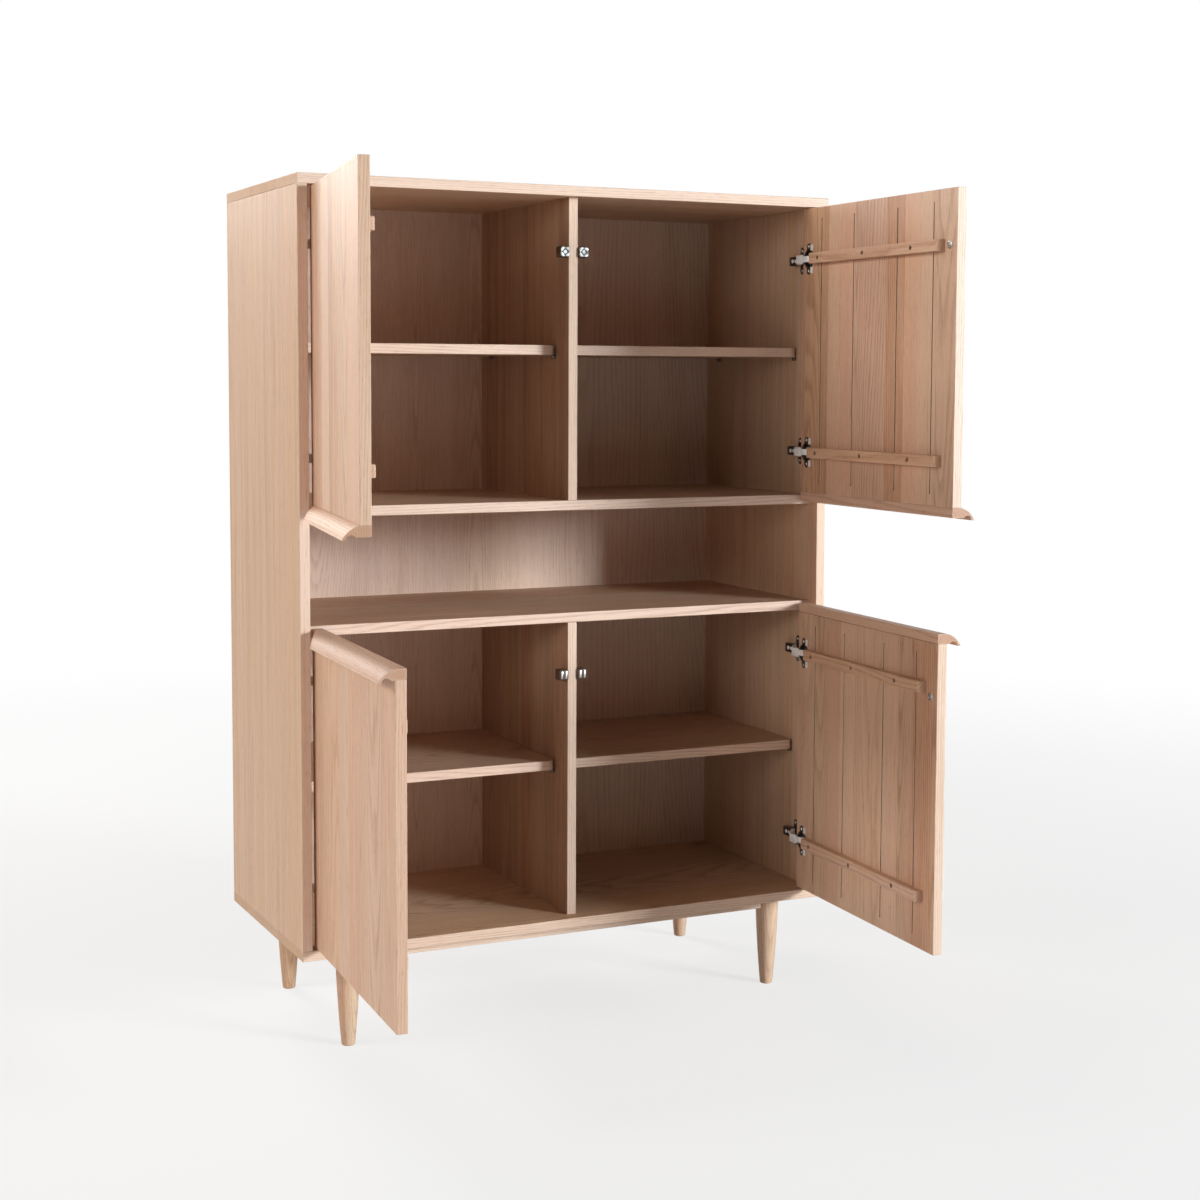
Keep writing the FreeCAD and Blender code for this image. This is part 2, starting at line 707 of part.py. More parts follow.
def make_batten_screws(name, side):
    """Makes the six screws that hold the battens."""
    head = ("batten_screw_head_radius", "batten_screw_head_height")
    shank = ("batten_screw_radius", "batten_thickness - batten_screw_bore_depth + batten_screw_in_door")
    screws = []
    for z in hinge_heights(name):
        for n in range(BATTEN_SCREW_COUNT):
            x = along(side, batten_screw_place(n))
            y = "door_inner_face + batten_thickness - batten_screw_bore_depth"
            screws.append(fuse([
                cylinder(*head, (x, y, z), ALONG_Y),
                cylinder(*shank, (x, "door_inner_face - batten_screw_in_door", z), ALONG_Y),
            ]))
    return hang(group(f"{name}_batten_screws", screws), name)


def make_hinge_link(side, z):
    """Makes the curved link of one hinge: an arch round the hinge line, from the cup's floor to its mouth."""
    start = ("0", "0", f"{z} - link_width / 2")
    arch = cylinder("link_radius", "link_width", start)
    first = "link_start_angle" if side == LEFT else "180 - link_end_angle"
    bind(arch, {"Angle": "link_end_angle - link_start_angle", "Placement.Rotation.Angle": first})
    inside = cylinder("link_radius - link_thickness", "link_width", start)
    return cut("hinge_link", arch, inside)


def make_hinge_cups(name, side):
    """Makes the two pressed cups with their eared flanges and the links in them."""
    cups = []
    for n, z in enumerate(hinge_heights(name), 1):
        body = new_body(f"{name}_cup_{n}")
        x = along(side, "cup_from_hinge_edge")
        floor = "door_inner_face - cup_depth"
        body_cylinder(body, "Additive", "cup_radius", "cup_depth", (x, floor, z), ALONG_Y)
        rim = ("cup_radius + flange_overlap", "flange_thickness", (x, "door_inner_face", z))
        body_cylinder(body, "Additive", *rim, ALONG_Y)
        ears = ("2 * flange_ear_radius", "flange_thickness", "cup_screw_spacing")
        low = f"{z} - cup_screw_spacing / 2"
        body_box(body, "Additive", ears, (f"{x} - flange_ear_radius", "door_inner_face", low))
        bar = ("flange_bar_width", "flange_thickness", "flange_bar_length")
        bar_x = along(side, "cup_from_hinge_edge + flange_bar_from_centre", "flange_bar_width")
        body_box(body, "Additive", bar, (bar_x, "door_inner_face", f"{z} - flange_bar_length / 2"))
        for way in ("+", "-"):
            centre = (x, "door_inner_face", f"{z} {way} cup_screw_spacing / 2")
            body_cylinder(body, "Additive", "flange_ear_radius", "flange_thickness", centre, ALONG_Y)
        hollow = ("cup_radius - cup_wall", "cup_depth + overrun", (x, f"{floor} + cup_wall", z))
        body_cylinder(body, "Subtractive", *hollow, ALONG_Y)
        cups.append(fuse([body, make_hinge_link(side, z)]))
    return hang(group(f"{name}_cup_pair", cups), name)


def make_hardware_screws(name, side):
    """Makes the four screws of the hinge cups and the one of the strike plate."""
    screws = []
    for z in hinge_heights(name):
        for way in ("+", "-"):
            x, height = along(side, "cup_from_hinge_edge"), f"{z} {way} cup_screw_spacing / 2"
            head = (x, "door_inner_face + flange_thickness", height)
            shank = (x, "door_inner_face - cup_screw_in_door", height)
            screws.append(fuse([
                cylinder("cup_screw_head_radius", "cup_screw_head_height", head, ALONG_Y),
                cylinder("cup_screw_radius", "cup_screw_in_door + flange_thickness", shank, ALONG_Y),
            ]))
    x, z = along(side, "door_width - strike_edge_distance"), strike_height(name)
    head = (x, "door_inner_face + strike_thickness - strike_screw_head_height", z)
    shank = (x, "door_inner_face - strike_screw_in_door", z)
    length = "strike_screw_in_door + strike_thickness - strike_screw_head_height"
    screws.append(fuse([
        cylinder("strike_screw_head_radius", "strike_screw_head_height", head, ALONG_Y),
        cylinder("strike_screw_radius", length, shank, ALONG_Y),
    ]))
    return hang(group(f"{name}_hardware_screws", screws), name)


def make_strike_disc(name, side):
    """Makes the round steel plate that the catch holds."""
    start = (along(side, "door_width - strike_edge_distance"), "door_inner_face", strike_height(name))
    disc = cylinder("strike_radius", "strike_thickness", start, ALONG_Y)
    return hang(group(f"{name}_strike_disc", [disc]), name)


def make_door(name):
    """Makes one door with everything that swings with it."""
    side = DOORS[name][0]
    batten_screws = make_batten_screws(name, side)
    hardware_screws = make_hardware_screws(name, side)
    all_screws = group(f"{name}_door_screws", [batten_screws, hardware_screws])
    pieces = [cut(f"{name}_door_panel", make_door_board(name, side), all_screws), make_pull_rail(name, side)]
    for level, bar in make_battens(name, side).items():
        pieces.append(cut(f"{name}_{level}_batten", bar, batten_screws))
    pieces.append(cut(f"{name}_hinge_cups", make_hinge_cups(name, side), hardware_screws))
    pieces.append(cut(f"{name}_strike_plate", make_strike_disc(name, side), hardware_screws))
    return pieces + [batten_screws, hardware_screws]


# The hinge plates and arms, which stay on the case

def from_side(side, start, length="0"):
    """Gives the low X of a stretch that starts a distance inside a side panel's inner face."""
    if side == LEFT:
        return f"-inner_half_width + {start}"
    return f"inner_half_width - ({start}) - ({length})"


def make_hinge_plate(side, z):
    """Makes one winged mounting plate."""
    wing_size = ("plate_wing_thickness", "plate_wing_width", "plate_wing_span")
    y = "front + plate_behind_front"
    wing = block(wing_size, (from_side(side, "0", "plate_wing_thickness"), f"{y} - plate_wing_width / 2",
                             f"{z} - plate_wing_span / 2"))
    core_size = ("plate_core_height", "plate_core_length", "arm_width")
    core = block(core_size, (from_side(side, "0", "plate_core_height"), f"{y} - plate_core_length / 3",
                             f"{z} - arm_width / 2"))
    return fuse([wing, core])


def make_plate_screws(side, z):
    """Makes the two screws of one mounting plate."""
    y = "front + plate_behind_front"
    screws = []
    for way in ("+", "-"):
        height = f"{z} {way} plate_screw_spacing / 2"
        head = (from_side(side, "plate_wing_thickness", "plate_screw_head_height"), y, height)
        length = "plate_screw_in_side + plate_wing_thickness"
        shank = (from_side(side, "-plate_screw_in_side", length), y, height)
        screws.append(fuse([
            cylinder("plate_screw_head_radius", "plate_screw_head_height", head, ALONG_X),
            cylinder("plate_screw_radius", length, shank, ALONG_X),
        ]))
    return screws


def make_hinge_arm(side, z):
    """Makes one hinge arm: a bar on the plate, a slanted neck and a nose that reaches into the cup."""
    low = f"{z} - arm_width / 2"
    bar_size = ("arm_height", "arm_back - arm_front", "arm_width")
    bar = block(bar_size, (from_side(side, "plate_core_height", "arm_height"), "front + arm_front", low))
    nose_size = ("arm_nose_thickness", "arm_neck_front - arm_nose_behind_front", "arm_width")
    nose_from = "arm_nose_from_side - arm_nose_thickness"
    nose_x = from_side(side, nose_from, "arm_nose_thickness")
    nose = block(nose_size, (nose_x, "front + arm_nose_behind_front", low))
    neck = doc.addObject("Part::Wedge", "neck")
    bar_near, bar_far = "plate_core_height", "plate_core_height + arm_height"
    neck_near, neck_far = "arm_nose_from_side - arm_neck_width", "arm_nose_from_side"
    if side == RIGHT:
        bar_near, bar_far = f"-({bar_far})", f"-{bar_near}"
        neck_near, neck_far = f"-{neck_far}", f"-({neck_near})"
    bind(neck, {
        "Xmin": neck_near, "Xmax": neck_far, "X2min": bar_near, "X2max": bar_far,
        "Ymin": "0", "Ymax": "arm_front - arm_neck_front",
        "Zmin": "0", "Z2min": "0", "Zmax": "arm_width", "Z2max": "arm_width",
    })
    place(neck, f"{side} * inner_half_width", "front + arm_neck_front", low)
    return fuse([bar, neck, nose])


def make_hinge_hardware():
    """Makes the mounting plates, their screws and the arms of all eight hinges."""
    plates, screws, arms = [], [], []
    for name, (side, bottom) in DOORS.items():
        for z in hinge_heights(name):
            plates.append(make_hinge_plate(side, z))
            screws += make_plate_screws(side, z)
            arms.append(make_hinge_arm(side, z))
    screw_group = group("hinge_plate_screws", screws)
    plate_group = cut("hinge_mounting_plates", group("plate_blanks", plates), screw_group)
    return plate_group, screw_group, group("hinge_arms", arms)


def make_catches():
    """Makes the magnetic catches on both faces of each divider, and the steel pole plates in their faces."""
    housings, poles = [], []
    for name, (side, bottom) in DOORS.items():
        z = strike_height(name)
        body = new_body(f"{name}_catch_housing")
        size = ("catch_width", "catch_depth", "catch_height")
        ease(body, body_box(body, "Additive", size), "catch_rounding")
        x = "-divider_thickness / 2 - catch_width" if side == LEFT else "divider_thickness / 2"
        place(body, x, "catch_face + pole_proud", f"{z} - catch_half_height")
        housings.append(body)
        for way in ("+", "-"):
            x = f"{side} * catch_centre {way} pole_spacing / 2 - pole_width / 2"
            pole = ("pole_width", "pole_depth", "pole_height")
            poles.append(block(pole, (x, "catch_face", f"{z} - pole_height / 2")))
    pole_group = group("catch_pole_plates", poles)
    return cut("catch_housings", group("catch_blanks", housings), pole_group), pole_group


def make_cabinet():
    """Makes every sub-part of the cabinet and returns the finished ones."""
    top, bottom, left, right = make_case_boards()
    niche_top, niche_floor, upper_divider, lower_divider = make_frame_boards()
    dowels = make_dowels()
    pins = make_shelf_pins()
    legs, studs, rails = make_legs()
    plates, plate_screws, arms = make_hinge_hardware()
    side_holes = group("side_holes", [dowels, pins, plate_screws])
    divider_holes = group("divider_holes", [dowels, pins])
    pieces = [
        cut("top_panel", top, dowels),
        cut("bottom_panel", bottom, group("bottom_holes", [dowels, studs])),
        cut("left_side_panel", left, side_holes),
        cut("right_side_panel", right, side_holes),
        make_back_panel(),
        cut("niche_top_shelf", niche_top, dowels),
        cut("niche_floor_shelf", niche_floor, dowels),
        cut("upper_divider", upper_divider, divider_holes),
        cut("lower_divider", lower_divider, divider_holes),
        dowels, pins, studs, plates, plate_screws, arms,
    ]
    pieces += make_shelves() + legs + rails + list(make_catches())
    for name in DOORS:
        pieces += make_door(name)
    return pieces


def check(pieces):
    """Stops if any object failed, or if a sub-part has no valid shape."""
    for item in doc.Objects:
        if "Invalid" in item.State or "Error" in item.State:
            raise RuntimeError(f"{item.Label} failed: {item.State}")
    for item in pieces:
        if item.Shape.isNull() or not item.Shape.isValid() or not item.Shape.Solids:
            raise RuntimeError(f"{item.Label} has no valid shape")


def write(pieces):
    """Writes each sub-part to its own file."""
    os.makedirs("parts", exist_ok=True)
    for item in pieces:
        item.Shape.exportStep(f"parts/{item.Label}.step")
        print(f"{item.Label}: {len(item.Shape.Solids)} solid(s), {item.Shape.Volume:.0f} mm3")


make_sheets()
cabinet = make_cabinet()
doc.recompute()
check(cabinet)
write(cabinet)
print(f"{len(cabinet)} sub-parts")
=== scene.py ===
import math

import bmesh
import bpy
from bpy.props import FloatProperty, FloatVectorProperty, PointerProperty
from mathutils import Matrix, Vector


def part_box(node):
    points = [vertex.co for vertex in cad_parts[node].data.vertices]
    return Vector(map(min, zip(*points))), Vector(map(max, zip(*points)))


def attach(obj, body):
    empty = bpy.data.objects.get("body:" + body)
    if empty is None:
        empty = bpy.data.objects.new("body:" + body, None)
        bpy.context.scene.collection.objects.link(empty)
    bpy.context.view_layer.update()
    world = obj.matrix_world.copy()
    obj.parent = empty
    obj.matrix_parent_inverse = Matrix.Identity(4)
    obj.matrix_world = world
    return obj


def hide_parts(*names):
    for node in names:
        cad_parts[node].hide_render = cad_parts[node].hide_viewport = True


bl_info = {
    "name": "Tall storage cabinet",
    "version": (1, 0, 0),
    "blender": (4, 5, 0),
    "location": "3D Viewport > Sidebar > Cabinet",
    "description": "Gives the packed cabinet its oak and metal finishes, fittings, stage, light and camera",
    "category": "Object",
}

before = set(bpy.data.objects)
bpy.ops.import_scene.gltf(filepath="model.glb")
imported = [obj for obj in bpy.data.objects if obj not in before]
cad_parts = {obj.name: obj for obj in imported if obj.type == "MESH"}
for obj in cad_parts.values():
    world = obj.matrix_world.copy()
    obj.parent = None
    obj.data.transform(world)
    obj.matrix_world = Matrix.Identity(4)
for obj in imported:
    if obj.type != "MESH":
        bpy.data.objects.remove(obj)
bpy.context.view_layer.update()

# Sides of the cabinet and its directions
LEFT = -1
RIGHT = 1
ALONG_X = Vector((1.0, 0.0, 0.0))
ALONG_Y = Vector((0.0, 1.0, 0.0))
ALONG_Z = Vector((0.0, 0.0, 1.0))

# Doors: the side of the hinges and how far the door rests open, in degrees
DOORS = {
    "upper_left": (LEFT, 99.4),
    "upper_right": (RIGHT, 89.3),
    "lower_left": (LEFT, 93.3),
    "lower_right": (RIGHT, 86.5),
}

# The hinge line and the doors round it, in metres
HINGE_X = 0.516
HINGE_Y = -0.2285
HINGE_EDGE = 0.0125
DOOR_INNER_FACE = 0.0125
BATTEN_THICKNESS = 0.015
BATTEN_SCREWS = (0.077, 0.2395, 0.402)

# Places in the case, in metres
INNER_HALF_WIDTH = 0.531
FRONT = -0.235
DIVIDER_HALF = 0.0095
HINGE_HEIGHTS = {"upper": (1.4785, 1.0935), "lower": (0.6865, 0.3015)}
STRIKE_HEIGHTS = {"upper": 1.4785, "lower": 0.6705}
SHELF_UNDERSIDES = (1.28425, 0.47575)
PIN_PLACES = (-0.146, 0.171)

# How each kind of board was sawn: the width of its staves or leaves of veneer in metres and how
# far they differ in tone, how strongly its growth rings show and how they lean along it, its long
# pores and how dark its ends are
SAWN_INPUTS = ("Stave width", "Stave contrast", "Figure", "Lean", "Long pores", "Ends")
SOLID = (0.068, 0.44, 0.20, 0.06, 0.9, 0.2)
SIDE = (0.013, 0.11, 0.05, 0.01, 0.15, 0.2)
STRIPED = (0.016, 0.22, 0.12, 0.02, 0.3, 0.2)
VENEER = (0.225, 0.12, 0.17, 0.14, 0.6, 0.2)
SHELF = (0.160, 0.14, 0.24, 0.12, 0.4, 0.2)
TURNED = (0.090, 0.10, 0.22, 0.02, 0.4, 0.5)
BEECH = (0.090, 0.05, 0.05, 0.01, 0.0, 0.3)

# Growth rings: their spacing in metres, how far their heart lies behind a board and sideways,
# and where in a ring its late wood is full and where it ends
RING_SPACING = 0.0044
HEART_DEPTH = 0.014
HEART_DEPTH_SPREAD = 0.05
HEART_SIDE_SPREAD = 0.10
LATE_WOOD_FULL = 0.55
LATE_WOOD_END = 0.86

# Noises along the grain: changes per metre across and along a board, detail and roughness
GRAIN_NOISES = {
    "slow": (8.0, 1.5, 2.0, 0.5),
    "near": (55.0, 6.0, 2.0, 0.5),
    "fibre": (330.0, 5.0, 3.0, 0.65),
    "thread": (1100.0, 22.0, 2.0, 0.6),
    "speck": (850.0, 48.0, 2.0, 0.6),
    "dash": (360.0, 30.0, 2.0, 0.55),
    "broad": (16.0, 1.6, 3.0, 0.6),
}

# Seeds of the figure, and their steps from one piece to the next
CASE_SEED_STEP = 1.37
DOOR_SEED = 31.7
DOOR_SEED_STEP = 2.9
TRIM_SEED_STEP = 0.61
LEG_SEED = 51.3
RAIL_SEED = 61.3
BASE_SEED_STEP = 1.9
DOWEL_SEED = 71.0


def srgb(red, green, blue):
    """A linear colour from the 0 to 255 values that a screen shows."""
    levels = []
    for value in (red, green, blue):
        share = value / 255.0
        if share <= 0.04045:
            levels.append(share / 12.92)
        else:
            levels.append(((share + 0.055) / 1.055) ** 2.4)
    return tuple(levels)


def turned(degrees, axis):
    """A turn about an axis."""
    return Matrix.Rotation(math.radians(degrees), 4, axis)


def moved(x, y, z):
    """A shift along the three axes."""
    return Matrix.Translation((x, y, z))


def door_turn(door):
    """The turn about the hinge line that opens a closed door to where it rests."""
    side, angle = DOORS[door]
    return turned(side * angle, "Z")


def door_run(door):
    """The direction from a door's hinges to its free edge, at rest."""
    return door_turn(door) @ Vector((-DOORS[door][0], 0.0, 0.0))


def hinge_point(door):
    """The foot of a door's hinge line on the floor."""
    return Vector((DOORS[door][0] * HINGE_X, HINGE_Y, 0.0))


def hinge_heights(door):
    """The heights of a door's two hinges."""
    return HINGE_HEIGHTS[door.split("_")[0]]


def strike_height(door):
    """The height of a door's strike plate and of its catch."""
    return STRIKE_HEIGHTS[door.split("_")[0]]


def hinges():
    """The side and the height of each hinge of the cabinet."""
    return [(DOORS[door][0], height) for door in DOORS for height in hinge_heights(door)]


# Nodes of the materials
class Wiring:
    """Adds nodes to a tree and joins them. An input is given as a number or as a socket."""

    def __init__(self, tree):
        self.tree = tree

    def put(self, node, inputs):
        """Sets or joins inputs of a node, by name or by number."""
        for key, value in inputs.items():
            if isinstance(value, bpy.types.NodeSocket):
                self.tree.links.new(value, node.inputs[key])
            else:
                node.inputs[key].default_value = value

    def node(self, kind, inputs=None, **settings):
        """A new node with its settings and inputs."""
        made = self.tree.nodes.new(kind)
        for name, value in settings.items():
            setattr(made, name, value)
        self.put(made, inputs or {})
        return made

    def maths(self, operation, *values, clamp=False):
        """One step of arithmetic on numbers."""
        inputs = dict(enumerate(values))
        return self.node("ShaderNodeMath", inputs, operation=operation, use_clamp=clamp).outputs[0]

    def times(self, first, second, clamp=False):
        """The product of two numbers."""
        return self.maths("MULTIPLY", first, second, clamp=clamp)

    def minus(self, first, second, clamp=False):
        """The difference of two numbers."""
        return self.maths("SUBTRACT", first, second, clamp=clamp)

    def total(self, first, *others):
        """The sum of several numbers."""
        for other in others:
            first = self.maths("ADD", first, other)
        return first

    def centred(self, value, amount):
        """A value from 0 to 1 as a swing about nought, amount wide."""
        return self.times(self.minus(value, 0.5), amount)

    def step(self, value, low, high):
        """0 below low, 1 above high and a smooth rise between them."""
        inputs = {"Value": value, "From Min": low, "From Max": high}
        made = self.node("ShaderNodeMapRange", inputs, interpolation_type="SMOOTHSTEP")
        return made.outputs["Result"]

    def vector(self, operation, first, second):
        """One step of arithmetic on vectors."""
        made = self.node("ShaderNodeVectorMath", {0: first, 1: second}, operation=operation)
        return made.outputs["Vector"]

    def scaled(self, value, amount):
        """A vector times a number."""
        made = self.node("ShaderNodeVectorMath", {0: value, "Scale": amount}, operation="SCALE")
        return made.outputs["Vector"]

    def joined(self, x, y, z):
        """A vector of three numbers."""
        return self.node("ShaderNodeCombineXYZ", {0: x, 1: y, 2: z}).outputs["Vector"]

    def parts(self, value):
        """The three numbers of a vector, by their letters."""
        return self.node("ShaderNodeSeparateXYZ", {"Vector": value}).outputs

    def noise(self, position, detail=2.0, roughness=0.5):
        """Soft noise from 0 to 1."""
        inputs = {"Vector": position, "Scale": 1.0, "Detail": detail, "Roughness": roughness}
        return self.node("ShaderNodeTexNoise", inputs).outputs["Fac"]

    def mix(self, share, first, second):
        """A blend of two colours. Their sockets are told apart by number alone."""
        inputs = {0: share, 6: first, 7: second}
        return self.node("ShaderNodeMix", inputs, data_type="RGBA").outputs[2]

    def hollow(self, reach, inside):
        """How hemmed in a point is, from 0 to 1: in hollows, or at outer edges from inside."""
        shadow = self.node(
            "ShaderNodeAmbientOcclusion",
            {"Distance": reach},
            samples=4,
            inside=inside,
            only_local=True,
        )
        return self.minus(1.0, shadow.outputs["AO"])


def new_group(name, inputs, outputs):
    """An empty shader group: its wiring, its input sockets and its output node."""
    tree = bpy.data.node_groups.new(name, "ShaderNodeTree")
    for label, kind, value in inputs:
        socket = tree.interface.new_socket(name=label, in_out="INPUT", socket_type=kind)
        if value is not None:
            socket.default_value = value
    for label, kind in outputs:
        tree.interface.new_socket(name=label, in_out="OUTPUT", socket_type=kind)
    wiring = Wiring(tree)
    inlet = wiring.node("NodeGroupInput").outputs
    outlet = wiring.node("NodeGroupOutput")
    return wiring, inlet, outlet


FLOAT = "NodeSocketFloat"
COLOR = "NodeSocketColor"
VECTOR = "NodeSocketVector"
FINISH = [("Color", COLOR), ("Roughness", FLOAT), ("Height", FLOAT)]


def build_oak_group():
    """Oak in metres: x across the board, y through it and z along the grain."""
    inputs = [
        ("Position", VECTOR, None),
        ("Facing", VECTOR, None),
        ("Seed", FLOAT, 0.0),
        ("Stave width", FLOAT, 0.07),
        ("Stave contrast", FLOAT, 0.5),
        ("Figure", FLOAT, 0.5),
        ("Lean", FLOAT, 0.03),
        ("Pores", FLOAT, 0.6),
        ("Long pores", FLOAT, 0.5),
        ("Ends", FLOAT, 0.2),
        ("Light oak", COLOR, None),
        ("Middle oak", COLOR, None),
        ("Dark oak", COLOR, None),
    ]
    wiring, inlet, outlet = new_group("Oak figure", inputs, FINISH)
    width = inlet["Stave width"]
    seed = inlet["Seed"]
    parts = wiring.parts(inlet["Position"])

    # Staves of differing width, each with numbers of its own
    even = wiring.maths("DIVIDE", parts["X"], width)
    sway = wiring.times(wiring.maths("SINE", wiring.total(wiring.times(even, 1.7), seed)), 0.33)
    place = wiring.total(even, sway, wiring.times(seed, 3.7))
    stave = wiring.maths("FLOOR", place)
    across = wiring.times(wiring.minus(wiring.minus(place, stave), 0.5), width)
    label = wiring.joined(stave, seed, 0.37)
    chance = wiring.node("ShaderNodeTexWhiteNoise", {"Vector": label}, noise_dimensions="3D")
    lots = wiring.node("ShaderNodeSeparateColor", {"Color": chance.outputs["Color"]}).outputs
    tone = chance.outputs["Value"]
    lot = wiring.joined(lots["Red"], lots["Green"], tone)
    own = wiring.vector("ADD", inlet["Position"], wiring.vector("MULTIPLY", lot, (1.3, 0.7, 9.0)))
    noises = {}
    for name, (crosswise, lengthwise, detail, roughness) in GRAIN_NOISES.items():
        drawn = wiring.vector("MULTIPLY", own, (crosswise, crosswise, lengthwise))
        noises[name] = wiring.noise(drawn, detail, roughness)

    # Growth rings round a heart that lies behind each stave
    sideways = wiring.minus(across, wiring.centred(lots["Red"], HEART_SIDE_SPREAD))
    depth = wiring.total(parts["Y"], HEART_DEPTH, wiring.times(lots["Green"], HEART_DEPTH_SPREAD))
    squares = [wiring.maths("POWER", distance, 2.0) for distance in (sideways, depth)]
    reach = wiring.total(
        wiring.maths("SQRT", wiring.total(*squares)),
        wiring.times(wiring.centred(lots["Blue"], inlet["Lean"]), parts["Z"]),
        wiring.centred(noises["slow"], 0.026),
        wiring.centred(noises["near"], 0.0030),
    )
    rings = wiring.maths("DIVIDE", reach, RING_SPACING)
    phase = wiring.maths("FRACT", wiring.total(rings, wiring.times(tone, 17.0)))
    rise = wiring.step(phase, 0.0, LATE_WOOD_FULL)
    fall = wiring.minus(1.0, wiring.step(phase, LATE_WOOD_END, 1.0))
    ring = wiring.times(rise, fall)

    # Open pores, most of them outside the late wood
    open_wood = wiring.minus(1.0, wiring.times(ring, 0.6))
    long_pore = wiring.times(wiring.step(noises["dash"], 0.60, 0.74), inlet["Long pores"])
    short_pore = wiring.step(noises["speck"], 0.56, 0.70)
    pore = wiring.times(wiring.maths("MAXIMUM", short_pore, long_pore), open_wood)

    # Colour: from dark to light with the level, tinted by stave, darker in pores and at the ends
    level = wiring.total(
        0.5,
        wiring.times(wiring.minus(tone, 0.5), inlet["Stave contrast"]),
        wiring.times(wiring.minus(ring, 0.55), inlet["Figure"]),
        wiring.centred(noises["fibre"], 0.50),
        wiring.centred(noises["thread"], 0.50),
        wiring.centred(noises["broad"], 0.45),
    )
    first_half = wiring.times(level, 2.0, clamp=True)
    second_half = wiring.minus(wiring.times(level, 2.0), 1.0, clamp=True)
    lower = wiring.mix(first_half, inlet["Dark oak"], inlet["Middle oak"])
    warm = {
        "Hue": wiring.total(0.5, wiring.centred(lots["Green"], 0.009)),
        "Saturation": wiring.total(1.0, wiring.centred(lots["Blue"], 0.16)),
        "Color": wiring.mix(second_half, lower, inlet["Light oak"]),
    }
    tinted = wiring.node("ShaderNodeHueSaturation", warm).outputs["Color"]
    pored = wiring.mix(wiring.times(pore, inlet["Pores"]), tinted, inlet["Dark oak"])
    facing = wiring.parts(inlet["Facing"])["Z"]
    end = wiring.step(wiring.maths("ABSOLUTE", facing), 0.55, 0.9)
    ended = wiring.mix(wiring.times(end, inlet["Ends"]), pored, inlet["Dark oak"])

    # Sheen and relief
    dull = wiring.total(
        0.46,
        wiring.times(open_wood, 0.08),
        wiring.times(pore, 0.2),
        wiring.times(end, 0.12),
        wiring.centred(noises["broad"], 0.08),
    )
    relief = wiring.total(
        wiring.times(ring, 0.35),
        wiring.times(noises["thread"], 0.5),
        wiring.times(pore, -1.0),
    )
    wiring.put(outlet, {"Color": ended, "Roughness": dull, "Height": relief})
    return wiring.tree


def build_wear_group():
    """Masks: Wear is 1 on rubbed outer edges, and Groove is painted shade, 1 in grooves and hollows; both
    are 0 elsewhere.
    """
    inputs = [
        ("Position", VECTOR, None),
        ("Reach", FLOAT, 0.003),
        ("Groove reach", FLOAT, 0.006),
        ("Patches", FLOAT, 40.0),
    ]
    wiring, inlet, outlet = new_group("Edge wear", inputs, [("Wear", FLOAT), ("Groove", FLOAT)])
    edge = wiring.step(wiring.hollow(inlet["Reach"], True), 0.05, 0.45)
    patch = wiring.noise(wiring.scaled(inlet["Position"], inlet["Patches"]), 3.0, 0.6)
    wear = wiring.times(edge, wiring.step(patch, 0.3, 0.7))
    # Painted shade: grooves, saw cuts and bores darken by how hemmed in they are
    groove_shade = wiring.step(wiring.hollow(inlet["Groove reach"], False), 0.35, 0.8)
    wiring.put(outlet, {"Wear": wear, "Groove": groove_shade})
    return wiring.tree


def build_metal_group():
    """Plated steel: faint drawn streaks, cloudy stains and dust in its colour and sheen."""
    inputs = [
        ("Position", VECTOR, None),
        ("Bright", COLOR, None),
        ("Dull", COLOR, None),
        ("Smoothness", FLOAT, 0.7),
    ]
    wiring, inlet, outlet = new_group("Plated steel", inputs, FINISH)
    cloud = wiring.noise(wiring.scaled(inlet["Position"], 120.0), 3.0, 0.55)
    drawn = wiring.vector("MULTIPLY", inlet["Position"], (3000.0, 500.0, 3000.0))
    streak = wiring.noise(drawn, 2.0, 0.5)
    stain = wiring.times(wiring.step(cloud, 0.42, 0.72), 0.7)
    rough = wiring.total(
        wiring.minus(1.0, inlet["Smoothness"]),
        wiring.centred(cloud, 0.22),
        wiring.centred(streak, 0.12),
    )
    color = wiring.mix(stain, inlet["Bright"], inlet["Dull"])
    wiring.put(outlet, {"Color": color, "Roughness": rough, "Height": streak})
    return wiring.tree


def placed_group(wiring, name, builder, inputs):
    """The outputs of the shared node group of that name, which is built the first time."""
    tree = bpy.data.node_groups.get(name) or builder()
    return wiring.node("ShaderNodeGroup", inputs, node_tree=tree).outputs


def new_material(name):
    """An empty material: its wiring, its shader and its object coordinates."""
    material = bpy.data.materials.new(name)
    material.use_nodes = True
    material.node_tree.nodes.clear()
    wiring = Wiring(material.node_tree)
    shader = wiring.node("ShaderNodeBsdfPrincipled")
    wiring.node("ShaderNodeOutputMaterial", {"Surface": shader.outputs["BSDF"]})
    coordinates = wiring.node("ShaderNodeTexCoord").outputs
    return material, wiring, shader, coordinates


def dress(wiring, shader, color, roughness, height, strength, distance):
    """Joins a colour, a roughness and a relief to a shader."""
    relief = {"Height": height, "Strength": strength, "Distance": distance}
    normal = wiring.node("ShaderNodeBump", relief).outputs["Normal"]
    wiring.put(shader, {"Base Color": color, "Roughness": roughness, "Normal": normal})


def oak_tones(look, tones):
    """The light, middle and dark colour of the oak of one part of the cabinet."""
    return [(*getattr(look, f"{tones}_{shade}"), 1.0) for shade in SHADES]


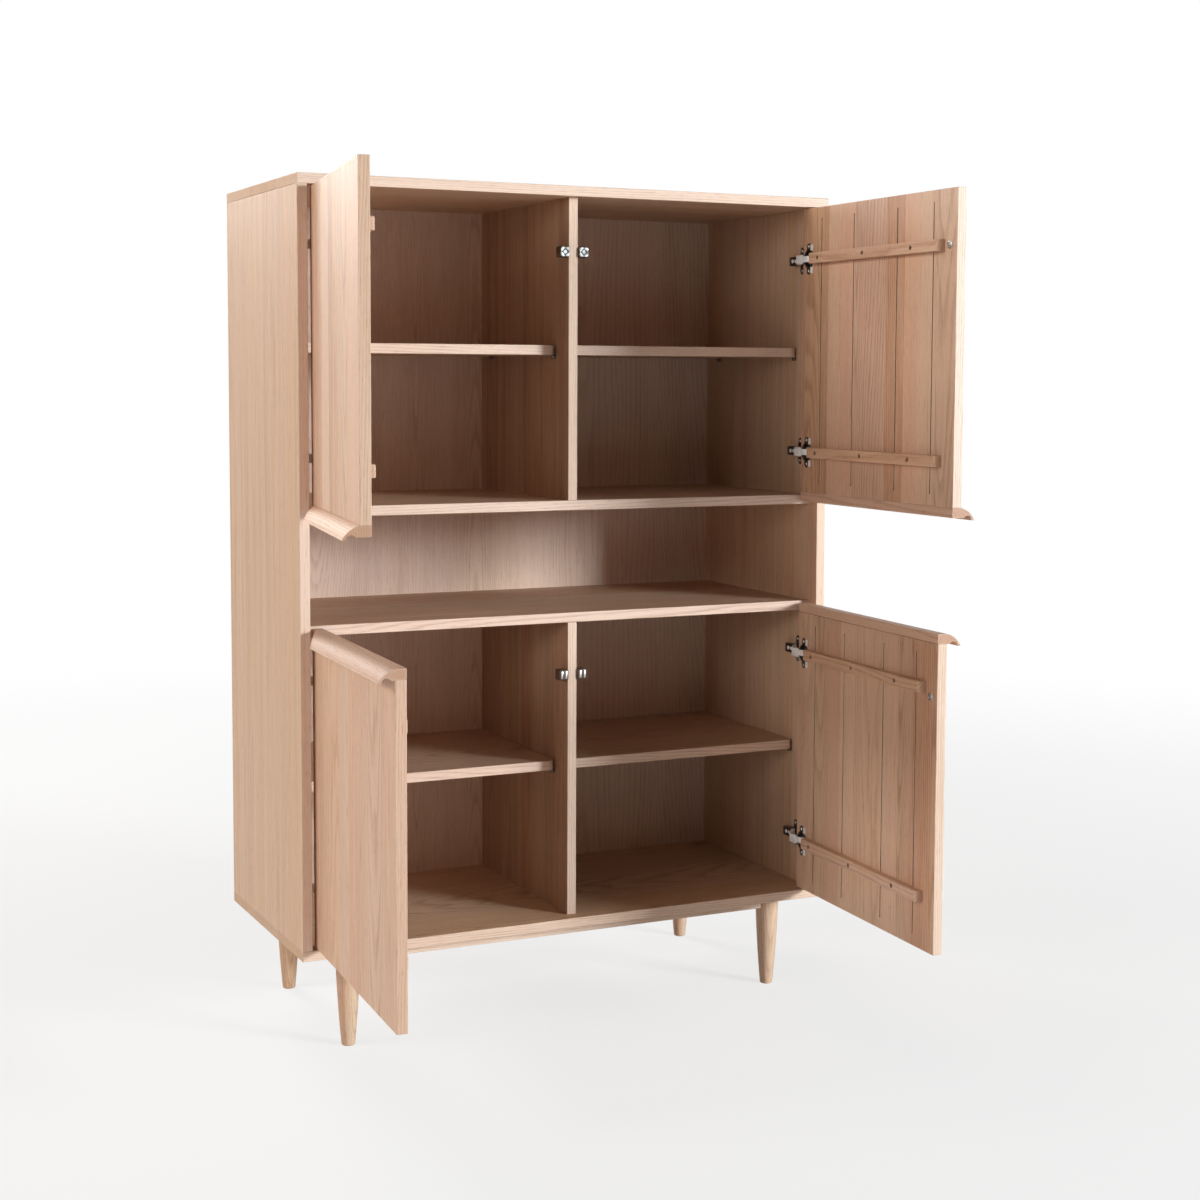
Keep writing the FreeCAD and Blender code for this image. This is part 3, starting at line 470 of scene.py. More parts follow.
def oak_material(name, grain, origin, seed, look, tones, sawn, lit_front_tones="lipping"):
    """Oak whose front-facing faces take the front tones, partly a real pale edge banding and partly painted
    light from the front. The grain is its direction and the way across its staves.
    """
    material, wiring, shader, coordinates = new_material(name)
    along, across = grain
    turn = Matrix((across, along.cross(across), along))
    place = {
        "Vector": coordinates["Object"],
        "Rotation": turn.to_euler("XYZ"),
        "Location": turn @ -Vector(origin),
    }
    facing = {"Vector": coordinates["Normal"], "Rotation": turn.to_euler("XYZ")}
    inputs = {
        "Position": wiring.node("ShaderNodeMapping", place, vector_type="POINT").outputs[0],
        "Facing": wiring.node("ShaderNodeMapping", facing, vector_type="VECTOR").outputs[0],
        "Seed": seed,
        "Pores": look.pores,
        **dict(zip(SAWN_INPUTS, sawn)),
    }
    # Painted front light: every face that looks to the front, edges and flat faces alike, takes the paler
    # front tones
    towards_front = wiring.times(wiring.parts(coordinates["Normal"])["Y"], -1.0)
    front = wiring.step(towards_front, 0.7, 0.9)
    shades = zip(oak_tones(look, tones), oak_tones(look, lit_front_tones))
    for key, (color, lipping) in zip(("Light oak", "Middle oak", "Dark oak"), shades):
        inputs[key] = wiring.mix(front, color, lipping)
    figure = placed_group(wiring, "Oak figure", build_oak_group, inputs)
    rubbing = {"Position": coordinates["Object"]}
    wear = placed_group(wiring, "Edge wear", build_wear_group, rubbing)
    worn = wiring.mix(wiring.times(wear["Wear"], look.wear), figure["Color"], (*look.worn, 1.0))
    # Painted shade: the groove colour darkens saw cuts, bores and other hollows
    color = wiring.mix(wiring.times(wear["Groove"], 0.75), worn, (*look.groove_shade, 1.0))
    wiring.put(shader, {"Specular IOR Level": look.gloss})
    dress(wiring, shader, color, figure["Roughness"], figure["Height"], 0.35, 0.0004)
    return material


def metal_material(name, bright, dull, smoothness, metallic):
    """Plated steel with streaks, stains, rubbed edges and painted shade in its grooves."""
    material, wiring, shader, coordinates = new_material(name)
    position = coordinates["Object"]
    look = {
        "Position": position,
        "Bright": (*bright, 1.0),
        "Dull": (*dull, 1.0),
        "Smoothness": smoothness,
    }
    steel = placed_group(wiring, "Plated steel", build_metal_group, look)
    rubbing = {"Position": position, "Reach": 0.0006, "Groove reach": 0.0016, "Patches": 300.0}
    wear = placed_group(wiring, "Edge wear", build_wear_group, rubbing)
    rubbed = wiring.mix(wear["Wear"], steel["Color"], (*bright, 1.0))
    # Painted shade: grooves and recesses, such as screw crosses and the catch faces' grooves, turn dark
    painted_hollow_shade = [0.12 * value for value in dull]
    color = wiring.mix(wear["Groove"], rubbed, (*painted_hollow_shade, 1.0))
    wiring.put(shader, {"Metallic": metallic})
    dress(wiring, shader, color, steel["Roughness"], steel["Height"], 0.15, 0.0001)
    return material


def plastic_material(name, body, scuffed):
    """Moulded plastic with a fine texture and scuffed edges."""
    material, wiring, shader, coordinates = new_material(name)
    position = coordinates["Object"]
    grain = wiring.noise(wiring.scaled(position, 2600.0), 2.0, 0.6)
    cloud = wiring.noise(wiring.scaled(position, 90.0), 3.0, 0.55)
    rubbing = {"Position": position, "Reach": 0.0008, "Patches": 260.0}
    wear = placed_group(wiring, "Edge wear", build_wear_group, rubbing)
    scuff = wiring.times(wiring.total(wear["Wear"], wiring.centred(cloud, 0.5)), 0.6, clamp=True)
    color = wiring.mix(scuff, (*body, 1.0), (*scuffed, 1.0))
    rough = wiring.total(0.42, wiring.centred(cloud, 0.2), wiring.centred(grain, 0.1))
    dress(wiring, shader, color, rough, grain, 0.3, 0.0001)
    return material


def metal(context, name):
    """One of the metal finishes, made the first time."""
    look = context.scene.cabinet_metal
    values = [getattr(look, name + ending) for ending in ("", "_dull", "_smoothness")]
    metallic = look.arm_metallic if name == "arm_zinc" else 1.0
    return bpy.data.materials.get(name) or metal_material(name, *values, metallic)


def paint(node, material):
    """Gives every face of a CAD node one material."""
    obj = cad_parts[node]
    if not obj.material_slots:
        obj.data.materials.append(material)
    for slot in obj.material_slots:
        slot.material = material


def middle_of(node):
    """The middle of a CAD node's box."""
    low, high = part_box(node)
    return (Vector(low) + Vector(high)) / 2.0


# Sides of the round shapes, and the fold in degrees from which an edge stays sharp
CUP_SIDES = 144
WING_SIDES = 120
FACE_SIDES = 64
STRIKE_SIDES = 48
BOSS_SIDES = 32
PIN_SIDES = 28
SCREW_SIDES = 24
SHARP_FOLD = 38.0

# Roundings of edges, in metres
BAR_ROUNDING = 0.0004
ARM_ROUNDING = 0.0005
POLE_ROUNDING = 0.0005
PLATE_ROUNDING = 0.0009


# Rules for the rims of shapes: each gives the radius at an angle
def capsule(half_span, end_radius):
    """The rim of a bar with round ends that runs along Y."""

    def radius(angle):
        along = abs(math.sin(angle))
        across = abs(math.cos(angle))
        centre = half_span - end_radius
        inside = end_radius**2 - (centre * across) ** 2
        if inside > 0.0:
            reach = centre * along + math.sqrt(inside)
            if reach * along >= centre:
                return reach
        return end_radius / across

    return radius


def eared(rim_radius, ear_centre, ear_radius):
    """The rim of a round flange with two ears along Y."""
    ears = capsule(ear_centre + ear_radius, ear_radius)
    return lambda angle: max(rim_radius, ears(angle))


# A cross recess: how far its corners lie from its arms, in degrees, and the slack of that test
CROSS_CORNER = 15.0
CROSS_SLACK = 0.01


def cross(reach):
    """The rim of a cross recess, whose four arms end at a distance from its centre."""
    half_width = reach * math.tan(math.radians(CROSS_CORNER))

    def radius(angle):
        folded = abs((math.degrees(angle) + 45.0) % 90.0 - 45.0)
        if folded <= CROSS_CORNER + CROSS_SLACK:
            return reach / math.cos(math.radians(folded))
        return half_width / math.sin(math.radians(folded))

    return radius


def diamond(reach):
    """The rim of a square that stands on a corner."""
    return lambda angle: reach / (abs(math.cos(angle)) + abs(math.sin(angle)))


def less(rule, amount):
    """The same rim, smaller all round."""
    return lambda angle: rule(angle) - amount


# Shapes that several fittings share, in metres
def build_up(shape, steps, count, place):
    """A closed solid in rings about Z. Each step is a ring's radius or rim, and its height."""

    def settle(ring, radius, height):
        for vert in ring:
            angle = math.atan2(vert.co.y, vert.co.x)
            reach = radius(angle) if callable(radius) else radius
            vert.co = (reach * math.cos(angle), reach * math.sin(angle), height)

    circle = bmesh.ops.create_circle(shape, cap_ends=True, segments=count, radius=1.0)
    ring = circle["verts"]
    edges = list({edge for vert in ring for edge in vert.link_edges})
    settle(ring, *steps[0])
    made = list(ring)
    for radius, height in steps[1:]:
        grown = bmesh.ops.extrude_edge_only(shape, edges=edges)["geom"]
        ring = [item for item in grown if isinstance(item, bmesh.types.BMVert)]
        kept = set(ring)
        new_edges = [item for item in grown if isinstance(item, bmesh.types.BMEdge)]
        edges = [edge for edge in new_edges if set(edge.verts) <= kept]
        settle(ring, radius, height)
        made += ring
    bmesh.ops.contextual_create(shape, geom=edges)
    bmesh.ops.transform(shape, matrix=place, verts=made)


def soften(shape, verts, rounding, steps=2):
    """Rounds the edges that meet in some corners."""
    edges = list({edge for vert in verts for edge in vert.link_edges})
    bmesh.ops.bevel(
        shape,
        geom=edges,
        offset=rounding,
        segments=steps,
        profile=0.5,
        affect="EDGES",
        material=-1,
    )


def slab(shape, corners, height, rounding, place):
    """A plate of one outline, as thick as the height, with rounded edges."""
    verts = [shape.verts.new((x, y, 0.0)) for x, y in corners]
    face = shape.faces.new(verts)
    grown = bmesh.ops.extrude_face_region(shape, geom=[face])["geom"]
    top = [item for item in grown if isinstance(item, bmesh.types.BMVert)]
    bmesh.ops.translate(shape, vec=(0.0, 0.0, height), verts=top)
    bmesh.ops.transform(shape, matrix=place, verts=verts + top)
    soften(shape, verts + top, rounding)


def rounded_block(shape, low, high, rounding, place, steps=2):
    """A block with rounded edges between two corners."""
    size = [top - bottom for bottom, top in zip(low, high)]
    middle = [(top + bottom) / 2.0 for bottom, top in zip(low, high)]
    matrix = place @ moved(*middle) @ Matrix.Diagonal((*size, 1.0))
    verts = bmesh.ops.create_cube(shape, size=1.0, matrix=matrix)["verts"]
    soften(shape, verts, rounding, steps)


# Profiles of screw heads from below, in shares of the head's radius and height
SUNK_HEAD_SHARES = ((0.62, 0.0), (0.96, 0.72), (1.0, 0.84), (0.93, 1.0))
ROUND_HEAD_SHARES = ((0.98, 0.0), (1.0, 0.3), (0.93, 0.68), (0.78, 0.93), (0.66, 1.0))


def screw(shape, place, head_radius, head_height, shank_radius, shank_length, sunk=False):
    """A cross-head screw whose head rises along Z from nought and whose shank goes down."""
    recess = cross(0.56 * head_radius)
    steps = [
        (0.15 * shank_radius, -shank_length), (shank_radius, -shank_length + 2.2 * shank_radius),
        (shank_radius, -0.0006),
    ]
    if not sunk:
        steps.append((shank_radius, 0.0))
    for radius, height in SUNK_HEAD_SHARES if sunk else ROUND_HEAD_SHARES:
        steps.append((radius * head_radius, height * head_height))
    steps += [(recess, head_height), (less(recess, 0.1 * head_radius), 0.45 * head_height)]
    build_up(shape, steps, SCREW_SIDES, place)


def add_piece(name, shape, material, body, node):
    """Makes a piece from a finished shape. It rides on a body and stands for a node."""
    bmesh.ops.recalc_face_normals(shape, faces=shape.faces)
    mesh = bpy.data.meshes.new(name)
    shape.to_mesh(mesh)
    shape.free()
    mesh.materials.append(material)
    mesh.polygons.foreach_set("use_smooth", [True] * len(mesh.polygons))
    mesh.set_sharp_from_angle(angle=math.radians(SHARP_FOLD))
    piece = bpy.data.objects.new(name, mesh)
    bpy.context.scene.collection.objects.link(piece)
    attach(piece, body)
    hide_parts(node)


# Places of the fittings
def on_door(door, from_edge, depth, height):
    """A frame on a door's inner side: X runs to the free edge, Z looks inward when it is shut."""
    shut = moved(from_edge - HINGE_EDGE, depth, height) @ turned(-90.0, "X")
    mirror = Matrix.Diagonal((-DOORS[door][0], 1.0, 1.0, 1.0))
    return Matrix.Translation(hinge_point(door)) @ door_turn(door) @ mirror @ shut


def in_case(side, inward, behind, height):
    """A frame by a side panel: X runs inward from its inner face, Y to the back and Z up."""
    mirror = Matrix.Diagonal((-side, 1.0, 1.0, 1.0))
    corner = moved(side * INNER_HALF_WIDTH, FRONT, height)
    return corner @ mirror @ moved(inward, behind, 0.0)


def on_side(side, inward, behind, height):
    """A frame on a side panel: Z looks inward, X runs to the back and Y up."""
    turn = Matrix((ALONG_Z, ALONG_X, ALONG_Y)).to_4x4()
    return in_case(side, inward, behind, height) @ turn


def on_divider(side, outward, behind, height):
    """A frame by a divider: X runs away from it, Y up and Z to the front."""
    mirror = Matrix.Diagonal((side, 1.0, 1.0, 1.0))
    corner = moved(side * DIVIDER_HALF, behind, height)
    return corner @ mirror @ moved(outward, 0.0, 0.0) @ turned(90.0, "X")


# Settings that a user would change
def a_color(label, text, value):
    """A colour with its name, description and default."""
    return FloatVectorProperty(
        name=label, description=text, subtype="COLOR", size=3, min=0.0, max=1.0, default=value
    )


def a_share(label, text, value):
    """A share with its name, description and default."""
    return FloatProperty(name=label, description=text, default=value, min=0.0, max=1.0)


def a_length(label, text, value):
    """A length with its name, description and default in metres."""
    return FloatProperty(
        name=label, description=text, default=value, min=0.0, unit="LENGTH", precision=4
    )


def a_number(label, text, value):
    """A plain number with its name, description and default."""
    return FloatProperty(name=label, description=text, default=value, min=0.0)


# Oak by the part of the cabinet: its light, middle and dark colour, as a screen shows them
SHADES = {"light": "Palest wood", "middle": "Most of the wood", "dark": "Open pores and ends"}
OAKS = {
    "door": ("doors", (228, 194, 168), (211, 172, 145), (160, 114, 88)),
    "case": ("case", (226, 196, 169), (211, 177, 149), (164, 124, 97)),
    "shelf": ("shelves", (214, 184, 160), (196, 162, 136), (148, 112, 88)),
    # Painted shade: the inside tones are the case oak made darker for the inside of the case
    "inside": ("inside of the case", (184, 154, 132), (164, 132, 110), (120, 90, 71)),
    # Paler front tones: partly a real edge banding, partly painted light from the front
    "lipping": ("front edges", (237, 212, 194), (226, 197, 178), (180, 142, 119)),
    "back": ("back panel", (178, 154, 137), (157, 131, 114), (110, 88, 74)),
    "beech": ("dowels", (226, 196, 160), (214, 178, 140), (176, 134, 98)),
}


class OakSettings(bpy.types.PropertyGroup):
    """The look of the oak."""

    worn: a_color("Worn edge", "Rubbed edges", srgb(228, 204, 182))
    # The groove colour is painted shade in saw cuts, bores and other hollows
    groove_shade: a_color("Groove", "Painted shade in saw cuts and bores", srgb(88, 62, 46))
    pores: a_share("Pores", "How strongly the open pores show", 0.6)
    gloss: a_share("Gloss", "How strongly the oiled wood reflects", 0.25)
    wear: a_share("Edge wear", "How strongly edges look rubbed", 0.45)
    for part, (words, *levels) in OAKS.items():
        for (shade, what), level in zip(SHADES.items(), levels):
            label, text = f"{shade} {words}".capitalize(), f"{what} of the {words}"
            __annotations__[f"{part}_{shade}"] = a_color(label, text, srgb(*level))


class HingeSettings(bpy.types.PropertyGroup):
    """Sizes of the concealed hinges."""

    cup_radius: a_length("Cup radius", "Outer radius of the pressed cup", 0.0175)
    cup_depth: a_length("Cup depth", "Depth of the cup in the door", 0.0115)
    cup_wall: a_length("Cup wall", "Thickness of the cup's wall", 0.001)
    cup_from_edge: a_length("Cup from edge", "From the hinge edge to the cup's middle", 0.0225)
    cup_rounding: a_length("Cup rounding", "Rounding of the cup's floor", 0.0012)
    flange_thickness: a_length("Flange thickness", "Thickness of the cup's flange", 0.0012)
    flange_overlap: a_length("Flange overlap", "How far the flange reaches past the cup", 0.0015)
    ear_radius: a_length("Ear radius", "Radius of the flange's ears", 0.007)
    bar_near: a_length("Bar place", "From the cup's middle to the flange's bar", 0.007)
    bar_width: a_length("Bar width", "Width of the flange's straight bar", 0.008)
    bar_length: a_length("Bar length", "Length of the flange's straight bar", 0.057)
    bar_rise: a_length("Bar rise", "How far the bar stands above the flange", 0.0003)
    cup_screw_spacing: a_length("Cup screw spacing", "Between the screws of a cup", 0.048)
    link_radius: a_length("Link radius", "Outer radius of the curved link", 0.01729)
    link_thickness: a_length("Link thickness", "Thickness of the curved link", 0.0028)
    link_width: a_length("Link width", "Height of the curved link", 0.012)
    link_rounding: a_length("Link rounding", "Rounding of the curved link", 0.0007)
    arm_width: a_length("Arm width", "Height of the arm", 0.017)
    plate_behind_front: a_length("Plate place", "From the front to the plate's middle", 0.066)
    plate_screw_spacing: a_length("Plate screw spacing", "Between the screws of a plate", 0.040)
    wing_span: a_length("Wing span", "Height of the mounting plate", 0.054)
    wing_width: a_length("Wing width", "Depth of the mounting plate's wings", 0.011)
    wing_thickness: a_length("Wing thickness", "Thickness of the plate's wings", 0.002)
    boss_radius: a_length("Boss radius", "Radius of the bosses under the plate's screws", 0.0048)
    base_before: a_length("Base before", "How far the plate's base reaches forward", 0.0127)
    base_behind: a_length("Base behind", "How far the plate's base reaches back", 0.0253)
    base_half_height: a_length("Base height", "Half the height of the plate's base", 0.0085)
    base_thickness: a_length("Base thickness", "Thickness of the plate's base", 0.005)


class CatchSettings(bpy.types.PropertyGroup):
    """Sizes of the magnetic catches, their strike plates and the shelf pins."""

    width: a_length("Catch width", "Width of a catch's housing", 0.020)
    height: a_length("Catch height", "Height of a catch's housing", 0.021)
    depth: a_length("Catch depth", "Depth of a catch's housing", 0.022)
    face: a_length("Catch face", "From the middle of the case to the housing's face", 0.2128)
    face_thickness: a_length("Face thickness", "Thickness of a pressed face", 0.0012)
    rounding: a_length("Catch rounding", "Rounding of the housing", 0.003)
    pole_width: a_length("Pole width", "Width of a pole plate", 0.004)
    pole_height: a_length("Pole height", "Height of a pole plate", 0.014)
    pole_depth: a_length("Pole depth", "Depth of a pole plate", 0.012)
    pole_spacing: a_length("Pole spacing", "Between the middles of the pole plates", 0.009)
    pole_proud: a_length("Pole proud", "How far the pole plates stand proud", 0.0008)
    strike_radius: a_length("Strike radius", "Radius of a strike plate", 0.007)
    strike_thickness: a_length("Strike thickness", "Thickness of a strike plate", 0.0018)
    strike_from_edge: a_length("Strike place", "From the hinge edge to the strike plate", 0.5055)
    pin_radius: a_length("Pin radius", "Radius of a shelf pin in its hole", 0.0025)
    pin_head_radius: a_length("Pin head radius", "Radius of a shelf pin's head", 0.0035)
    pin_length: a_length("Pin length", "Length of a pin's head and of its part in the wall", 0.008)


# Metal finishes: what they are on, their colour, the colour of their stains and their smoothness
METALS = {
    "bright_nickel": ("screws", (0.68, 0.66, 0.64), (0.36, 0.34, 0.32), 0.78),
    "hinge_plate_steel": ("hinge plates", (0.16, 0.15, 0.14), (0.07, 0.065, 0.06), 0.62),
    "pole_face_steel": ("pole plates", (0.56, 0.55, 0.54), (0.30, 0.29, 0.28), 0.66),
    # Painted shade: the upper catches' faces are a darker copy of the pole steel, which tones down their
    # reflections
    "catch_face_steel": ("upper catches' faces", (0.20, 0.20, 0.20), (0.10, 0.10, 0.10), 0.58),
    # Painted highlight: the hinge arms and links are near white, and barely metal, to show the highlight on
    # their plating
    "arm_zinc": ("hinge arms", (0.97, 0.97, 0.96), (0.84, 0.83, 0.82), 0.52),
}


class MetalSettings(bpy.types.PropertyGroup):
    """The look of the fittings."""

    # A low metal share, so that the near-white colour shows as a painted highlight
    arm_metallic: a_share("Arm metal", "How far the hinge arms reflect like bare metal", 0.15)
    housing: a_color("Catch housing", "The moulded catches", srgb(70, 48, 36))
    housing_scuffed: a_color("Scuffed housing", "Scuffs on the catches", srgb(112, 84, 66))
    for finish, (words, bright, dull, smoothness) in METALS.items():
        label = words.capitalize()
        __annotations__[finish] = a_color(label, f"Metal of the {words}", bright)
        text = f"Stains on the {words}"
        __annotations__[finish + "_dull"] = a_color(f"Dull {words}", text, dull)
        __annotations__[finish + "_smoothness"] = a_share(
            label + " polish", f"How smooth the {words} are", smoothness
        )


# Lamps that face the middle of the cabinet: power in watts, azimuth from the front towards the
# left and elevation in degrees, distance and width in metres, and colour
LAMP_TARGET = Vector((0.0, 0.0, 0.9))
LAMP_HEIGHT = 1.5
LAMPS = {
    "left_lamp": (182.0, 92.0, 26.0, 7.0, 2.6, (1.0, 0.96, 0.91)),
    "low_lamp": (110.0, 60.0, 12.0, 7.0, 2.6, (1.0, 0.96, 0.92)),
    "front_lamp": (600.0, -38.0, 9.0, 7.5, 1.9, (0.90, 0.97, 1.0)),
    "back_lamp": (80.0, 165.0, 25.0, 4.0, 1.5, (1.0, 0.97, 0.94)),
}


class StageSettings(bpy.types.PropertyGroup):
    """The floor, the light and the camera."""

    floor: a_color("Floor", "Colour of the floor", (0.74, 0.73, 0.72))
    floor_size: a_length("Floor size", "Width of the floor", 24.0)
    sky: a_number("Sky", "Strength of the light from all round", 0.02)
    lens: a_number("Lens", "Focal length in millimetres", 59.158)
    for lamp, values in LAMPS.items():
        words = lamp.replace("_", " ")
        text = f"Power of the {words} in watts"
        __annotations__[lamp] = a_number(words.capitalize(), text, values[0])


# Boards of the case: the directions along their grain and across their staves, their colours
# and how they were sawn
UPRIGHT = (ALONG_Z, ALONG_Y)
FLAT = (ALONG_X, ALONG_Y)
CASE_BOARDS = {
    "left_side_panel": (UPRIGHT, "case", SIDE),
    "right_side_panel": (UPRIGHT, "case", SIDE),
    # The dividers take the darker inside tones, painted shade
    "upper_divider": (UPRIGHT, "inside", STRIPED),
    "lower_divider": (UPRIGHT, "inside", STRIPED),
    "back_panel": ((ALONG_Z, ALONG_X), "back", VENEER),
    "top_panel": (FLAT, "case", SHELF),
    "bottom_panel": (FLAT, "case", SHELF),
    "niche_top_shelf": (FLAT, "shelf", SHELF),
    "niche_floor_shelf": (FLAT, "shelf", SHELF),
    "upper_left_shelf": (FLAT, "shelf", SHELF),
    "upper_right_shelf": (FLAT, "shelf", SHELF),
    "lower_left_shelf": (FLAT, "shelf", SHELF),
    "lower_right_shelf": (FLAT, "shelf", SHELF),
}


# Operators that finish the pieces
class CABINET_OT_case_oak(bpy.types.Operator):
    """Gives the case, the dividers and the shelves their oak"""

    bl_idname = "cabinet.case_oak"
    bl_label = "Case oak"

    def execute(self, context):
        look = context.scene.cabinet_oak
        for count, (node, (grain, tones, sawn)) in enumerate(CASE_BOARDS.items()):
            seed = CASE_SEED_STEP * (count + 1)
            oak = oak_material(node + "_oak", grain, middle_of(node), seed, look, tones, sawn)
            paint(node, oak)
        return {"FINISHED"}


class CABINET_OT_door_oak(bpy.types.Operator):
    """Gives the doors, their battens and their pull rails their oak"""

    bl_idname = "cabinet.door_oak"
    bl_label = "Door oak"

    def execute(self, context):
        look = context.scene.cabinet_oak
        for count, door in enumerate(DOORS):
            run = door_run(door)
            origin = hinge_point(door)
            seed = DOOR_SEED + DOOR_SEED_STEP * count
            # Painted light: the right doors' front-facing edges take the paler front tones, the left doors'
            # edges their own door tones
            edge = "lipping" if DOORS[door][0] == RIGHT else "door"
            name = door + "_door_oak"
            oak = oak_material(name, (ALONG_Z, run), origin, seed, look, "door", SOLID, edge)
            paint(door + "_door_panel", oak)
            for step, piece in enumerate(("pull_rail", "upper_batten", "lower_batten")):
                node = door + "_" + piece
                foot = Vector((origin.x, origin.y, middle_of(node).z))
                own_seed = seed + TRIM_SEED_STEP * (step + 1)
                grain = (run, ALONG_Z)
                name = node + "_oak"
                oak = oak_material(name, grain, foot, own_seed, look, "door", TURNED, "door")
                paint(node, oak)
        return {"FINISHED"}


class CABINET_OT_base_oak(bpy.types.Operator):
    """Gives the legs, the rails between them and the dowels their wood"""

    bl_idname = "cabinet.base_oak"
    bl_label = "Base oak"

    def execute(self, context):
        look = context.scene.cabinet_oak
        legs = ("front_left_leg", "front_right_leg", "rear_left_leg", "rear_right_leg")
        rails = ("front_base_rail", "rear_base_rail")
        # Painted front light: the legs' front faces take the paler case tones, and the rails' front faces
        # the paler front tones
        for nodes, first_seed, grain, front in (
            (legs, LEG_SEED, (ALONG_Z, ALONG_X), "case"),
            (rails, RAIL_SEED, (ALONG_X, ALONG_Z), "lipping"),
        ):
            for count, node in enumerate(nodes):
                origin = middle_of(node)
                seed = first_seed + BASE_SEED_STEP * count
                name = node + "_oak"
                oak = oak_material(name, grain, origin, seed, look, "shelf", TURNED, front)
                paint(node, oak)
        middle = (0.0, 0.0, 0.0)
        grain = (ALONG_X, ALONG_Z)
        beech = oak_material("dowel_beech", grain, middle, DOWEL_SEED, look, "beech", BEECH)
        paint("carcass_dowels", beech)
        return {"FINISHED"}


# The curved link starts before the hinge line and runs round it, in degrees
LINK_START = -5.0
LINK_SWEEP = -113.0
LINK_STEPS = 22


class CABINET_OT_hinge_cups(bpy.types.Operator):
    """Makes the pressed cups with their eared flanges and curved links"""

    bl_idname = "cabinet.hinge_cups"
    bl_label = "Hinge cups"

    def execute(self, context):
        sizes = context.scene.cabinet_hinges
        depth, wall, rim = sizes.cup_depth, sizes.cup_wall, sizes.flange_thickness
        outer, rounding = sizes.cup_radius, sizes.cup_rounding
        ear_centre = sizes.cup_screw_spacing / 2.0
        flange = eared(outer + sizes.flange_overlap, ear_centre, sizes.ear_radius)
        steps = [
            (outer - rounding, -depth), (outer, -depth + rounding), (outer, -0.0001),
            (flange, 0.0), (flange, 0.6 * rim), (less(flange, 0.0002), 0.9 * rim),
            (less(flange, 0.0005), rim), (outer - 0.2 * wall, rim), (outer - wall, 0.5 * rim),
            (outer - wall, -depth + 2.2 * wall), (outer - 1.8 * wall, -depth + 1.2 * wall),
            (outer - 3.0 * wall, -depth + wall),
        ]
        # The links take the near-white arm metal, a painted highlight
        dark, pale = metal(context, "hinge_plate_steel"), metal(context, "arm_zinc")
        for door in DOORS:
            cups, bright = bmesh.new(), bmesh.new()
            for height in hinge_heights(door):
                middle = on_door(door, sizes.cup_from_edge, DOOR_INNER_FACE, height)
                build_up(cups, steps, CUP_SIDES, middle)
                self.add_bars(bright, sizes, middle)
                self.add_link(bright, sizes, on_door(door, HINGE_EDGE, 0.0, height))
            body, node = door + "_door", door + "_hinge_cups"
            add_piece(door + "_cup_pair", cups, dark, body, node)
            add_piece(door + "_link_pair", bright, pale, body, node)
        return {"FINISHED"}

    def add_bars(self, shape, sizes, place):
        """The straight bar of the flange, above and below the cup."""
        near, far = sizes.bar_near, sizes.bar_near + sizes.bar_width
        end = sizes.bar_length / 2.0
        top = sizes.flange_thickness + sizes.bar_rise
        start = math.sqrt(sizes.cup_radius**2 - near**2)
        rounded_block(shape, (near, start, 0.0), (far, end, top), BAR_ROUNDING, place)
        rounded_block(shape, (near, -end, 0.0), (far, -start, top), BAR_ROUNDING, place)

    def add_link(self, shape, sizes, place):
        """The curved link, an arch about the hinge line from the cup's floor to its mouth."""
        grid = bmesh.ops.create_grid(shape, x_segments=1, y_segments=1, size=0.5)["verts"]
        middle = sizes.link_radius - sizes.link_thickness / 2.0
        size = Matrix.Diagonal((sizes.link_thickness, sizes.link_width, 1.0, 1.0))
        bmesh.ops.transform(shape, matrix=moved(middle, 0.0, 0.0) @ size, verts=grid)
        rounded = bmesh.ops.bevel(
            shape,
            geom=grid,
            offset=sizes.link_rounding,
            segments=2,
            profile=0.5,
            affect="VERTICES",
            material=-1,
        )
        face = rounded["verts"][0].link_faces[0]
        bmesh.ops.transform(shape, matrix=turned(LINK_START, "Y"), verts=list(face.verts))
        before = set(shape.verts) - set(face.verts)
        bmesh.ops.spin(
            shape,
            geom=[face, *face.verts, *face.edges],
            cent=(0.0, 0.0, 0.0),
            axis=ALONG_Y,
            angle=math.radians(LINK_SWEEP),
            steps=LINK_STEPS,
            use_merge=False,
        )
        arch = [vert for vert in shape.verts if vert not in before]
        bmesh.ops.transform(shape, matrix=place, verts=arch)


# The hinge arm from above, inward from the side panel and back from the front: channel, neck, nose
ARM_OUTLINE = (
    (0.005, 0.095), (0.005, 0.062), (0.0295, 0.0345), (0.032, 0.0325), (0.032, 0.011),
    (0.035, 0.011), (0.035, 0.0345), (0.0325, 0.0385), (0.0155, 0.0620), (0.013, 0.066),
    (0.013, 0.0945), (0.0125, 0.095),
)
# The channel behind the arm and its clip: two corners, inward and back, and the rounding
CHANNEL = ((0.0048, 0.0655), (0.0134, 0.0954), 0.0007)
CHANNEL_PROUD = 0.0004
CLIP = ((0.0130, 0.0890), (0.0144, 0.0940), 0.0004)
CLIP_HALF = 0.0062
# The arm's adjusting screws: how far back with the radius of the head, how far inward, and the
# height of their heads with the radius and length of their shanks
ADJUSTING_SCREWS = ((0.0722, 0.0034), (0.0828, 0.0040))
ADJUSTING_INWARD = 0.0134
ADJUSTING_SIZES = (0.0016, 0.002, 0.003)
# The pin through the arm's nose, and the rings of its head
NOSE_PIN = (0.0335, 0.0145)
NOSE_PIN_HEAD = ((0.0017, -0.002), (0.0021, 0.0), (0.0021, 0.0004), (0.0015, 0.0008))


